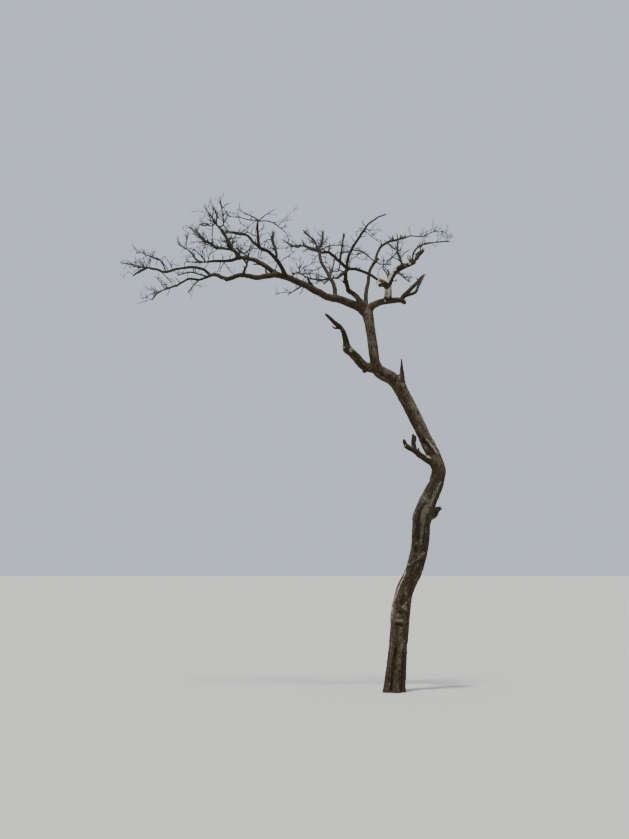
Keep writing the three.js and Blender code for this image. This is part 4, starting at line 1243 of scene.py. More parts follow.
# %% [markdown]
# ## Sprays on the bark
# A real trunk is read by its marks: the dark hollow half way up, the pale strand beside it, the healed rings
# of lost branches. The shapes of the big ones are in the trunk already. Here each place gets its finish,
# which is kept as a number at every point of the skin: darkened by stains and painted shade, stripped to the
# wood, bleached by the sun, overgrown with lichen, or paler with painted sky light. Small marks are shaped
# here too.

# %% Marks and clefts
SPRAYS = {kind: np.zeros(len(POINTS)) for kind in ("stain", "bare", "pale", "lichen", "sky_light")}
END_OUT, END_IN = 0.06, 0.08


def spray(kind, amount):
    """Add to one kind of finish: where two meet, the stronger one holds."""
    SPRAYS[kind] = np.maximum(SPRAYS[kind], amount)


def facing(name, x, z):
    """The run and the turn of a place on a limb's front, from its x and height."""
    rows_of = slice_of(name)
    apart = np.array([x, z]) * MM - MIDDLE[rows_of][:, [0, 2]]
    best = (apart**2).sum(1).argmin()
    across = BINORMAL[rows_of][best, [0, 2]]
    side = apart[best] @ across / max(np.linalg.norm(across), 0.3)
    return RUN[rows_of][best], math.asin(np.clip(side / RADIUS[rows_of][best], -0.98, 0.98))


def way_round(turn):
    """How far each point is round its limb from a turn, in metres."""
    return ((TURNS - turn + math.pi) % (2 * math.pi) - math.pi) * RADIUS[PICK]


def mark(name, place, long, wide, lift=0.0, rim=0.0, **sprays):
    """An oval mark on a limb: it lifts or sinks its middle, raises a rim round it, and sprays."""
    run, turn = place
    own = LIMB[PICK] == limb_names.index(name)
    round_by = way_round(turn)
    wobble = 1 + 0.22 * soft_noise(GRAIN / 0.03, 53)
    q = np.where(own, np.sqrt(((RUNS - run) / long) ** 2 + (round_by / wide) ** 2) * wobble, 9.0)
    heights[:] += lift * np.exp(-2.5 * q**2) + rim * np.exp(-(((q - 1) / 0.3) ** 2))
    for kind, amount in sprays.items():
        spray(kind, amount * (1 - smooth_step(0.6, 1.2, q)))


def cleft(name, places, wide, deep, lip=0.0, **sprays):
    """A groove, or a strand where deep is below 0, that runs through places on a limb."""
    runs, turns = zip(*sorted(places))
    first, last = runs[0], runs[-1]
    own = LIMB[PICK] == limb_names.index(name)
    round_by = way_round(np.interp(RUNS, runs, turns))
    sway = 0.5 * wide * soft_noise(np.column_stack([0 * RUNS, 0 * RUNS, RUNS]) / 0.11, 61)
    q = np.abs(round_by + sway) / wide
    starts = smooth_step(first - END_OUT, first + END_IN, RUNS)
    stops = 1 - smooth_step(last - END_IN, last + END_OUT, RUNS)
    ends = starts * stops * own
    heights[:] += lip * ends * np.exp(-(((q - 1.6) / 0.5) ** 2)) - deep * ends * np.exp(-(q**2))
    for kind, amount in sprays.items():
        spray(kind, amount * ends * (1 - smooth_step(0.5, 1.2, q)))


def trunk_at(*places):
    """The run and the turn of places on the trunk's front."""
    return [facing("trunk", x, z) for x, z in places]


def run_at(name, share):
    """How far along a limb a share of its way is, in metres."""
    rows_of = slice_of(name)
    return float(np.interp(share, SHARE[rows_of], RUN[rows_of]))


# %% Finish the trunk's own forms
# Each form's finish. The darkening in the hollows, furrows, splits and root folds is partly stain and partly
# painted shade; the sky share on the strands, lips, knots and bulges is painted sky light.
FORM_FINISH = dict(
    long_hollow=dict(stain=0.85),
    hollow_top=dict(stain=0.8),
    pale_strand=dict(bare=0.35, lichen=0.5, sky_light=0.8),
    left_lip=dict(bare=0.35, sky_light=0.9),
    low_hollow=dict(stain=1.0),
    crossing_strand=dict(bare=0.5, lichen=0.6, sky_light=0.6),
    long_furrow=dict(stain=0.6),
    healed_knot=dict(bare=0.5, lichen=0.4, sky_light=0.6),
    knot_upper_hollow=dict(stain=0.9),
    knot_lower_hollow=dict(stain=0.9),
    pale_lip=dict(bare=0.42, lichen=0.4, sky_light=1.0),
    under_the_lip=dict(stain=1.0),
    left_bulge=dict(bare=0.5, pale=0.15, sky_light=1.0),
    middle_ridge=dict(lichen=0.6, sky_light=0.3),
    middle_furrow=dict(stain=0.8),
    base_cleft=dict(stain=1.0),
    root_fold_right=dict(stain=0.6),
    root_fold_side=dict(stain=0.7),
    root_fold_back_right=dict(stain=0.7),
    root_fold_back=dict(stain=0.8),
    root_fold_back_left=dict(stain=0.7),
    root_fold_left=dict(stain=0.6),
    back_knot_low=dict(bare=0.6, pale=0.2),
    side_hollow_low=dict(stain=0.9),
    side_split=dict(stain=0.8),
    back_bulge=dict(bare=0.4, sky_light=0.4),
    back_furrow=dict(stain=0.7),
    side_furrow=dict(stain=0.6),
    left_hollow=dict(stain=0.9),
    back_split=dict(stain=0.9),
    bend_knot=dict(bare=0.6),
    bend_furrow=dict(stain=0.6),
    upper_split=dict(stain=1.0),
    upper_strand=dict(bare=0.6, lichen=0.3, sky_light=0.8),
    upper_hollow=dict(stain=0.9),
)
for form, finish in FORM_FINISH.items():
    wide, deep, route = FORM_ROUTES[form]
    apart = distance_to_route(ON_TUBE[ON_TRUNK], route) / (wide * (1.05 if deep > 0 else 0.95))
    near = np.exp(-apart**2) * (1 + 0.35 * soft_noise(GRAIN[ON_TRUNK] / 0.035, 59))
    for kind, amount in finish.items():
        everywhere = np.zeros(len(POINTS))
        everywhere[ON_TRUNK] = np.clip(amount * near * 1.3, 0, amount)
        spray(kind, everywhere)
print("forms with a finish:", len(FORM_FINISH))

# %% Small marks on the trunk, pale wood and lichen on the boughs, painted sky light and painted shade
# Marks on the trunk's front: x and height in millimetres, half length and half width in metres. Their sky
# share is painted sky light.
TRUNK_MARKS = (
    (606, 3585, 0.05, 0.016, dict(lift=0.003, bare=0.5, pale=0.1, sky_light=1.0)),
    (640, 3760, 0.20, 0.06, dict(bare=0.34, sky_light=1.0, lichen=0.3)),
    (720, 4830, 0.06, 0.02, dict(lift=0.006, bare=0.4, lichen=0.4, sky_light=0.9)),
    (690, 4960, 0.07, 0.035, dict(lichen=0.5, sky_light=0.9)),
    (622, 5110, 0.035, 0.024, dict(lift=-0.02, rim=0.01, stain=0.9)),
    (655, 3960, 0.14, 0.06, dict(lichen=0.7, sky_light=0.5)),
    # Three broad darkenings of the trunk: painted shade.
    (520, 3420, 0.42, 0.20, dict(stain=0.3)),
    (330, 2380, 0.46, 0.16, dict(stain=0.62)),
    (830, 4380, 0.46, 0.17, dict(stain=0.45)),
    (289, 6232, 0.036, 0.024, dict(lift=-0.028, rim=0.012, stain=1.0)),
    (230, 6330, 0.09, 0.06, dict(lift=0.006, lichen=0.6, sky_light=0.8)),
    (-480, 7750, 0.28, 0.11, dict(lichen=0.8)),
    (-400, 7200, 0.34, 0.10, dict(lichen=0.7, sky_light=0.6)),
    (-440, 7560, 0.40, 0.16, dict(sky_light=0.4)),
    (-560, 7960, 0.16, 0.08, dict(lichen=0.6, sky_light=0.8)),
)

# Clefts in the trunk: places on its front, half width, depth (a strand below 0), lip. The darkening in the
# deep clefts is partly stain and partly painted shade, and the strand's sky share is painted sky light.
TRUNK_CLEFTS = (
    (((285, 2480), (165, 2210), (75, 2000), (10, 1790), (-40, 1570)), 0.034, -0.006, 0.0,
     dict(bare=0.6, pale=0.35, sky_light=1.0)),
    (((86, 6476), (73, 6306)), 0.016, 0.026, 0.010, dict(stain=0.9)),
    (((-330, 6750), (-300, 6640)), 0.014, 0.020, 0.008, dict(stain=0.9)),
)

# Healed knots round the trunk: share of its way, degrees round, half length, half width, lift, rim, bare wood
HEALED_KNOTS = (
    (0.56, -165, 0.06, 0.04, 0.018, 0.012, 0.6),
    (0.63, 110, 0.05, 0.035, -0.018, 0.012, 0.2),
    (0.70, 30, 0.05, 0.035, 0.014, 0.010, 0.3),
    (0.82, 160, 0.07, 0.03, 0.010, 0.008, 0.5),
    (0.875, -95, 0.05, 0.03, 0.012, 0.008, 0.4),
)

# Lichen on the boughs: share of the way, turn in radians, half length, half width, amount
LICHEN = (
    ("middle_bough", 0.22, 0.6, 0.22, 0.10, 1.0),
    ("centre_bough", 0.06, 0.0, 0.10, 0.08, 0.5),
    ("right_bough", 0.3, 0.0, 0.16, 0.20, 0.5),
    ("left_bough", 0.12, 1.2, 0.30, 0.12, 0.6),
    ("dead_limb_lower", 0.3, 1.5, 0.22, 0.08, 0.6),
    ("left_bough", 0.4, 3.0, 0.4, 0.06, 0.5),
)

# Bare wood on the boughs: the same, with how bare and how pale
BARE_WOOD = (
    ("right_pale_stub", 0.5, 1.4, 0.14, 0.07, 1.0, 1.0),
    ("pale_knob", 0.7, 1.2, 0.09, 0.07, 1.0, 1.0),
    ("right_upright_bough", 0.20, -0.2, 0.20, 0.12, 0.62, 0.45),
    ("right_upright_bough", 0.18, 0.1, 0.03, 0.02, 1.0, 1.0),
    ("right_upright_bough", 0.42, -0.9, 0.20, 0.06, 1.0, 0.9),
    ("right_upright_bough", 0.58, -1.2, 0.12, 0.05, 0.8, 0.7),
    ("right_upright_bough", 0.3, 2.6, 0.14, 0.05, 0.6, 0.4),
    ("right_upright_bough", 0.74, -0.8, 0.08, 0.05, 0.5, 0.2),
    ("right_upright_bough", 0.86, -1.1, 0.08, 0.05, 0.9, 0.8),
    ("pale_horn", 0.6, -0.2, 0.07, 0.03, 0.8, 0.6),
    ("top_swell", 0.85, -1.0, 0.05, 0.04, 1.0, 0.9),
    ("right_top_stub", 0.95, 0.4, 0.05, 0.03, 0.9, 0.9),
    ("right_top_stub", 0.2, 1.5, 0.08, 0.03, 0.8, 0.7),
    ("right_bough", 0.35, -1.3, 0.16, 0.045, 0.7, 0.3),
    ("right_bough", 0.7, 2.4, 0.13, 0.04, 0.6, 0.2),
    ("right_bough", 0.5, 0.1, 0.10, 0.04, 0.6, 0.5),
    ("right_low_bough", 0.5, 0.3, 0.14, 0.02, 0.4, 0.1),
    ("left_stub", 0.34, 1.1, 0.22, 0.034, 0.8, 0.3),
    ("left_stub_horn", 0.5, 1.4, 0.04, 0.03, 0.4, 0.1),
    ("left_stub_spike", 0.7, -1.2, 0.09, 0.02, 0.5, 0.1),
    ("left_stub", 0.85, 1.3, 0.06, 0.03, 0.6, 0.2),
    ("shoulder_spike", 0.35, -0.4, 0.10, 0.04, 0.5, 0.15),
    ("dead_limb_lower", 0.90, 0.3, 0.06, 0.07, 0.6, 0.2),
    ("dead_limb_upper", 0.45, 2.2, 0.25, 0.02, 0.7, 0.3),
    ("dead_limb_upper", 0.8, -0.4, 0.14, 0.02, 0.5, 0.2),
    ("left_bough", 0.25, -2.2, 0.2, 0.03, 0.5, 0.2),
    ("left_bough", 0.5, 1.6, 0.18, 0.02, 0.6, 0.3),
    ("middle_bough", 0.55, 1.0, 0.1, 0.025, 0.6, 0.3),
    ("centre_bough", 0.55, -1.4, 0.12, 0.015, 0.4, 0.1),
)
# Painted shade that darkens the thinner boughs.
SLIM_SHADE = 0.75
for x, z, long, wide, change in TRUNK_MARKS:
    mark("trunk", facing("trunk", x, z), long, wide, **change)
for places, wide, deep, lip, sprays in TRUNK_CLEFTS:
    cleft("trunk", trunk_at(*places), wide, deep, lip, **sprays)
for share, turn, long, wide, lift, rim, bare in HEALED_KNOTS:
    place = (run_at("trunk", share), math.radians(turn))
    mark("trunk", place, long, wide, lift, rim, bare=bare, stain=0.3)
for name, share, turn, long, wide, amount in LICHEN:
    mark(name, (run_at(name, share), turn), long, wide, lichen=amount)
for name, share, turn, long, wide, bare, pale in BARE_WOOD:
    mark(name, (run_at(name, share), turn), long, wide, bare=bare, pale=pale)
# Painted sky light: the sides that face up get a pale share, as if lit from above.
PAINTED_SKY_LIGHT_SHARE = smooth_step(-0.15, 0.75, OUTWARD[:, 2] + 0.25 * soft_noise(GRAIN / 0.09, 97))
spray("sky_light", 0.8 * PAINTED_SKY_LIGHT_SHARE)
# The thin boughs' painted shade is sprayed with the stains, less where lichen or bare wood covers them.
covered = np.maximum(SPRAYS["lichen"], SPRAYS["bare"])
spray("stain", SLIM_SHADE * (1 - smooth_step(0.50, 0.95, SIZE)) * (1 - 0.8 * covered))
print("with the marks, mm:", np.round(np.percentile(heights, (0, 1, 50, 99, 100)) * 1000, 1))

# %% [markdown]
# ## Raise the bark
# Where bark is gone the wood lies a little lower and is smooth but for long cracks. Then every point moves
# straight out by its height. The skin is cut level with the ground, so nothing hangs below the mount.

# %% Raise the skin
BARK_THICK = 0.005
patchy = SPRAYS["bare"] + 0.28 * soft_noise(GRAIN / SIZE[:, None] / (0.02, 0.02, 0.07), 67)
STRIPPED = smooth_step(0.35, 0.8, patchy)
cracks = np.abs(soft_noise(GRAIN / SIZE[:, None] / (0.011, 0.011, 0.12), 73))
smooth_wood = -BARK_THICK * SIZE - 0.003 * SIZE * (1 - smooth_step(0.0, 0.12, cracks))
raised = heights * (1 - STRIPPED) + STRIPPED * (smooth_wood + np.clip(heights, -0.05, 0.02) * 0.5)
POINTS = POINTS + OUTWARD * np.clip(raised, -0.045, 0.035)[:, None]
print("share of bare wood:", round(float((STRIPPED > 0.5).mean()), 3))

# %% [markdown]
# ## Cut the skin into pieces
# One skin round the whole tree is too big for one piece, so it is cut across a few limbs. A face
# goes to the piece that its limb belongs to, or on the trunk to the stretch that it is in. Each open end is
# closed by a fan of faces inside the wood, so every piece is a closed solid.

# %% Which faces go where
TRUNK_CUTS = (3.1, 5.9)
FORK_REACH = 0.42
LEFT_SPLIT = -2.0
LEFT_FROM = -1.05
LEFT_TOP, LEFT_RISE = 8.25, 0.35
MOST_ROUNDS = 4000
PIECE_NAMES = (
    "trunk_foot_bark",
    "trunk_middle_bark",
    "trunk_fork_bark",
    "left_bough_bark",
    "left_crown_bark",
    "middle_bough_bark",
    "right_bough_bark",
)
RIGHT_LIMBS = [limb_names.index(n) for n in limb_names if n.startswith("right_") and n != "right_stub"]
CENTRE_LIMBS = [limb_names.index(n) for n in limb_names if n.startswith(("centre", "top_spur"))]
FORK = limbs["trunk"].at(1.0)


def piece_of(middles, limb):
    """The number of the piece for each face."""
    x, z = middles[:, 0], middles[:, 2]
    number = np.zeros(len(middles), int)
    number[z > TRUNK_CUTS[0]] = 1
    number[z > TRUNK_CUTS[1]] = 2
    out = np.linalg.norm(middles - FORK, axis=1) > FORK_REACH
    crown = (z > FORK[2] - 0.05) & out
    number[crown] = 5
    number[crown & (x < LEFT_FROM) & (z < LEFT_TOP + LEFT_RISE * (LEFT_FROM - x))] = 3
    number[crown & (x < LEFT_SPLIT)] = 4
    number[crown & np.isin(limb, RIGHT_LIMBS)] = 6
    number[crown & np.isin(limb, CENTRE_LIMBS)] = 6
    return number


def closed_piece(faces, points):
    """The points that some faces use, the faces, and a fan that closes each ring of open edges."""
    used, faces = np.unique(faces, return_inverse=True)
    faces = faces.reshape(-1, faces.shape[-1] if faces.ndim > 1 else 4)
    edges = np.stack([faces, np.roll(faces, -1, 1)], 2).reshape(-1, 2)
    key = edges.min(1) * len(used) + edges.max(1)
    _, where, count = np.unique(key, return_index=True, return_counts=True)
    open_edges = edges[where[count == 1]]
    group = np.arange(len(used))
    for _ in range(MOST_ROUNDS):
        low = np.minimum(group[open_edges[:, 0]], group[open_edges[:, 1]])
        before = group.copy()
        np.minimum.at(group, open_edges[:, 0], low)
        np.minimum.at(group, open_edges[:, 1], low)
        if (before == group).all():
            break
    rings = np.unique(group[open_edges[:, 0]]) if len(open_edges) else []
    caps = []
    middles = []
    for ring in rings:
        mine = open_edges[group[open_edges[:, 0]] == ring]
        hub = len(used) + len(middles)
        middles.append(points[used[np.unique(mine)]].mean(0))
        caps.append(np.column_stack([mine[:, 1], mine[:, 0], np.full(len(mine), hub)]))
    return used, faces, np.array(middles).reshape(-1, 3), np.vstack(caps) if caps else np.zeros((0, 3), int)



def bark_mesh(name, faces):
    """One piece of the skin, with its grain and its sprays."""
    used, quads, middles, caps = closed_piece(faces, POINTS)
    points = np.vstack([POINTS[used], middles])
    mesh = bpy.data.meshes.new(name)
    mesh.vertices.add(len(points))
    mesh.vertices.foreach_set("co", points.astype(np.float32).ravel())
    mesh.loops.add(quads.size + caps.size)
    mesh.loops.foreach_set("vertex_index", np.concatenate([quads.ravel(), caps.ravel()]).astype(np.int32))
    sizes = np.concatenate([np.full(len(quads), 4), np.full(len(caps), 3)])
    mesh.polygons.add(len(sizes))
    mesh.polygons.foreach_set("loop_start", np.concatenate([[0], np.cumsum(sizes)[:-1]]).astype(np.int32))
    mesh.polygons.foreach_set("use_smooth", sizes == 4)
    pad = len(middles)
    store(mesh, "grain", "FLOAT_VECTOR", np.vstack([GRAIN[used] / SIZE[used, None], np.zeros((pad, 3))]))
    for key, values in BARK_SPRAYS.items():
        store(mesh, key, "FLOAT", np.concatenate([values[used], np.zeros(pad)]))
    mesh.update(calc_edges=True)
    corners = points[caps]
    flat = np.cross(corners[:, 1] - corners[:, 0], corners[:, 2] - corners[:, 0])
    flat /= np.linalg.norm(flat, axis=1)[:, None] + 1e-12
    mesh.normals_split_custom_set(np.vstack([NORMALS[used][quads.ravel()], np.repeat(flat, 3, axis=0)]))
    return mesh



def point_normals(points, quads):
    """The skin's normal at every point, from all its faces, so that a cut doesn't show as a seam."""
    across = np.cross(points[quads[:, 2]] - points[quads[:, 0]], points[quads[:, 3]] - points[quads[:, 1]])
    total = np.zeros_like(points)
    for corner in range(4):
        for axis in range(3):
            total[:, axis] += np.bincount(quads[:, corner], across[:, axis], len(points))
    return total / (np.linalg.norm(total, axis=1)[:, None] + 1e-12)


BARK_SPRAYS = {"plate": PLATES, "flake": FLAKES, **SPRAYS, "bare": STRIPPED}
middles = POINTS[QUADS].mean(1)
wanted = middles[:, 2] > 0.0
QUADS = QUADS[wanted]
middles = middles[wanted]
POINTS[:, 2] = np.maximum(POINTS[:, 2], 0.0)
NORMALS = point_normals(POINTS, QUADS)
numbers = piece_of(middles, LIMB[PICK[QUADS[:, 0]]])
SKINS = {}
for number, name in enumerate(PIECE_NAMES):
    SKINS[name] = show(name, bark_mesh(name, QUADS[numbers == number]))
    print(name, "triangles:", 2 * int((numbers == number).sum()))

# %% [markdown]
# ## Shader helpers
# Every finish below is worked out by nodes from the grain or from the place in space. These few helpers
# keep the recipes short: a soft noise, a step that turns a value into 0 to 1, and a mix of two colours.
# They add nodes with the same few functions as the tube tree.

# %% Small makers of shader nodes


class Finish:
    """A material with one surface shader, and short ways to add nodes to it."""

    def __init__(self, name):
        self.material = bpy.data.materials.new(name)
        self.material.use_nodes = True
        self.tree = self.material.node_tree
        self.surface = self.tree.nodes["Principled BSDF"]

    def node(self, kind, inputs, output, **settings):
        """One output of a new node, with its inputs and settings."""
        return add(self.tree, kind, inputs, **settings).outputs[output]

    def attribute(self, name, output="Fac"):
        """What is kept at each point of the skin under a name."""
        return self.node("ShaderNodeAttribute", {}, output, attribute_name=name)

    def place(self):
        """The place in the object, for wood with no grain kept."""
        return self.node("ShaderNodeTexCoord", {}, "Object")

    def stretch(self, vector, by):
        """A place made longer or shorter along each axis."""
        return self.node("ShaderNodeVectorMath", {0: vector, 1: by}, "Vector", operation="MULTIPLY")

    def noise(self, vector, scale, detail=3.0, roughness=0.55, distortion=0.0):
        """Soft noise from 0 to 1."""
        given = {"Vector": vector, "Scale": scale, "Detail": detail}
        given.update({"Roughness": roughness, "Distortion": distortion})
        return self.node("ShaderNodeTexNoise", given, "Fac")

    def borders(self, vector, scale):
        """How far a place is from the border of its scale of bark."""
        given = {"Vector": vector, "Scale": scale}
        return self.node("ShaderNodeTexVoronoi", given, "Distance", feature="DISTANCE_TO_EDGE")

    def step(self, value, low, high, smallest=0.0, largest=1.0):
        """A soft step between two values."""
        given = {"Value": value, "From Min": low, "From Max": high, "To Min": smallest, "To Max": largest}
        return self.node("ShaderNodeMapRange", given, "Result", interpolation_type="SMOOTHSTEP")

    def reckon(self, operation, a, b):
        """A sum, difference, product or the like of two values."""
        return self.node("ShaderNodeMath", {0: a, 1: b}, "Value", operation=operation)

    def mix(self, share, a, b):
        """The first colour, with a share of the second over it."""
        return self.node("ShaderNodeMix", {0: share, 6: a, 7: b}, 2, data_type="RGBA")

    def bump(self, height, distance, strength):
        """Let the surface show fine relief."""
        given = {"Height": height, "Distance": distance, "Strength": strength}
        feed(self.tree, self.surface.inputs["Normal"], self.node("ShaderNodeBump", given, "Normal"))

    def dress(self, colour, roughness, shine=0.5):
        """Give the surface its colour, roughness and shine."""
        for key, value in (("Base Color", colour), ("Roughness", roughness), ("Specular IOR Level", shine)):
            feed(self.tree, self.surface.inputs[key], value)


# %% [markdown]
# ## Bark
# The bark is a warm grey brown, nearly black in its fissures, with painted sky light on the sides that face
# up.
# It reads the grain, so its streaks and scales run along every limb, and the sprays that the marks left:
# hollows darkened by stains and painted shade, olive lichen in patches, and bare wood, grey where it is old
# and bleached where it is not.

# %% The bark's finish
CRACK = (0.008, 0.0055, 0.0035)
# Very dark brown, for stains and for painted shade.
SHADED_AND_STAINED = (0.017, 0.0105, 0.0045)
UMBER = (0.036, 0.021, 0.008)
BROWN = (0.068, 0.043, 0.0165)
STRAW = (0.235, 0.195, 0.130)
RUSSET = (0.066, 0.035, 0.015)
ASH = (0.270, 0.245, 0.190)
LICHEN_PALE = (0.270, 0.260, 0.165)
LICHEN_OLIVE = (0.085, 0.080, 0.038)
BLEACHED = (0.640, 0.590, 0.490)
WEATHERED = (0.270, 0.225, 0.160)


def bark_finish():
    """Bark by its grain, then what the sprays put over it."""
    f = Finish("acacia bark")
    grain = f.attribute("grain", "Vector")
    plate, flake = f.attribute("plate"), f.attribute("flake")
    bare, pale, sky_light = f.attribute("bare"), f.attribute("pale"), f.attribute("sky_light")
    lichen, stain = f.attribute("lichen"), f.attribute("stain")
    # Patterns, from broad patches to specks and the borders of scales
    broad = f.noise(f.stretch(grain, (1, 1, 0.5)), 4.5, 3)
    patch = f.noise(grain, 2.6, 2)
    streak = f.noise(f.stretch(grain, (1, 1, 0.16)), 46, 4, 0.6, 0.3)
    speck = f.noise(f.stretch(grain, (1, 1, 0.6)), 120, 3, 0.65)
    rim = f.borders(f.stretch(grain, (1, 1, 0.42)), 58)
    # Browns: straw in the streaks, rust in patches, ash on worn flakes, and painted sky light in ash on what
    # faces up
    base = f.mix(f.step(broad, 0.36, 0.64), UMBER, BROWN)
    base = f.mix(f.step(streak, 0.50, 0.80, 0, 0.6), base, STRAW)
    base = f.mix(f.step(patch, 0.54, 0.70, 0, 0.6), base, RUSSET)
    base = f.mix(f.step(flake, 0.2, 0.8, 0, 0.18), base, STRAW)
    worn = f.reckon("MULTIPLY", f.step(flake, 0.84, 0.92, 0, 0.75), f.step(speck, 0.3, 0.6))
    base = f.mix(worn, base, ASH)
    # Painted sky light: ash where the sky share is, broken by the streaks.
    base = f.mix(f.reckon("MULTIPLY", sky_light, f.step(streak, 0.36, 0.6, 0.35, 0.8)), base, ASH)
    base = f.mix(f.step(speck, 0.60, 0.34, 0, 0.55), base, UMBER)
    # Lichen in spots
    spots = f.step(f.noise(grain, 26, 4, 0.6), 0.44, 0.56)
    growth = f.mix(f.step(speck, 0.4, 0.6), LICHEN_OLIVE, LICHEN_PALE)
    everywhere = f.step(patch, 0.42, 0.30, 0, 0.5)
    cover = f.reckon("MULTIPLY", spots, f.reckon("MAXIMUM", lichen, everywhere))
    base = f.mix(f.reckon("MULTIPLY", cover, 0.8), base, growth)
    # Dark cracks, then stains and painted shade
    seam = f.step(rim, 0.0, 0.09, 0.45, 1.0)
    deep = f.reckon("MULTIPLY", f.step(plate, 0.0, 0.42, 0.15, 1.0), seam)
    base = f.mix(deep, CRACK, base)
    base = f.mix(f.reckon("MULTIPLY", stain, 0.86), base, SHADED_AND_STAINED)
    # Wood where the bark is gone, with a ragged edge
    check = f.noise(f.stretch(grain, (1, 1, 0.05)), 130, 3, 0.6)
    wood = f.mix(f.reckon("MULTIPLY", pale, f.step(check, 0.32, 0.56)), WEATHERED, BLEACHED)
    wood = f.mix(f.step(check, 0.50, 0.34, 0, 0.6), wood, UMBER)
    ragged = f.reckon("MULTIPLY", f.reckon("SUBTRACT", speck, 0.5), 0.5)
    edge = f.step(f.reckon("ADD", bare, ragged), 0.3, 0.6)
    f.dress(f.mix(edge, base, wood), f.step(streak, 0.3, 0.8, 0.95, 0.78), 0.25)
    ridges = f.reckon("MULTIPLY", f.step(rim, 0.0, 0.16), f.reckon("SUBTRACT", 1.0, edge))
    relief = f.reckon("ADD", f.reckon("MULTIPLY", streak, 0.5), f.reckon("MULTIPLY", speck, 0.3))
    f.bump(f.reckon("ADD", relief, f.reckon("MULTIPLY", ridges, 0.35)), 0.007, 0.9)
    return f.material


# %% [markdown]
# ## Twig wood
# Twigs are many thousand small tubes in one mesh, so their colour is dealt out piece by piece in plain
# base colours: older wood, younger wood, and a few dead rusty ones. Each has only a fine grain of its own.

# %% The twigs' finishes
OLD_TWIG = (0.030, 0.025, 0.020)
YOUNG_TWIG = (0.032, 0.025, 0.021)
DEAD_TWIG = (0.060, 0.034, 0.020)
TORN = (0.52, 0.47, 0.38)


def twig_finish(name, colour, lighter):
    """Wood of one colour, mottled with a lighter one."""
    f = Finish(name)
    place = f.place()
    mottle = f.noise(place, 55, 3, 0.6)
    pale = tuple(min(1.0, c * lighter) for c in colour)
    f.dress(f.mix(f.step(mottle, 0.40, 0.66), colour, pale), f.step(mottle, 0.3, 0.7, 0.92, 0.74), 0.3)
    f.bump(f.noise(place, 320, 3, 0.6), 0.0015, 0.7)
    return f.material


BARK = bark_finish()
WOODS = (
    twig_finish("old twig wood", OLD_TWIG, 1.9),
    twig_finish("young twig wood", YOUNG_TWIG, 1.7),
    twig_finish("dead twig wood", DEAD_TWIG, 1.5),
)
TORN_WOOD = twig_finish("torn wood", TORN, 1.25)
for piece in SKINS.values():
    piece.data.materials.append(BARK)
print("finishes:", [m.name for m in (BARK, *WOODS, TORN_WOOD)])

# %% [markdown]
# ## Finer twigs
# The solids carry the two thickest levels of twigs. On the real tree the gaps between them are full of
# short crooked spurs, so the same rule runs again on stems, twigs and the thin boughs, one level finer. A
# shoot still has to have room, so the sky stays open where the photograph shows it.

# %% More shoots by the same rule
FINE_SEED = 900
BOUGH_SHOOT = (0.011, 0.008)
BOUGH_SHARE = 0.5
THIN_BOUGH = 0.06
OUTER_PART = np.array([0.75, 1.0])
NO_SHOOTS = ("left_stub", "right_pale", "right_top_stub", "shoulder")



def finer(name):
    """Shorter shoots between a mass's own twigs, and on them."""
    seed, lines = MASSES[name]
    fits = room_in(name)
    found = []
    for i, row in enumerate(leaders[name]):
        share = 0.9 * lines[i]["twigs"]
        branch(row, seed * 10 + i + FINE_SEED, 1, share, fits, found)
    for i, (level, twig) in enumerate(twigs[name]):
        if level == 0:
            branch(twig, seed * 100 + i + FINE_SEED, 2, 0.85, fits, found)
    return found


def free_of_limbs(twig):
    """Whether a shoot's outer part is clear of every limb."""
    return clearance(twig.at(OUTER_PART), limb_beads).min() > LIMB_CLEAR


def bough_shoots(name):
    """Short shoots on a thin bough, between its masses."""
    bough = BOUGHS[name]
    route = [limbs[bough["on"]].at(bough["at"]), *(np.array(bough["route"], float) * MM)]
    thin = Line(route, BOUGH_SHOOT)
    found = []
    branch(thin, len(name) * 37 + FINE_SEED, 1, BOUGH_SHARE, free_of_limbs, found)
    return found


finer_twigs = {name: finer(name) for name in MASSES}
thin_boughs = [name for name, bough in BOUGHS.items()
               if max(bough["radii"]) * MM < THIN_BOUGH and not name.startswith(NO_SHOOTS)]
on_boughs = [twig for name in thin_boughs for twig in bough_shoots(name)]
print("finer twigs:", sum(len(f) for f in finer_twigs.values()), "on boughs:", len(on_boughs))
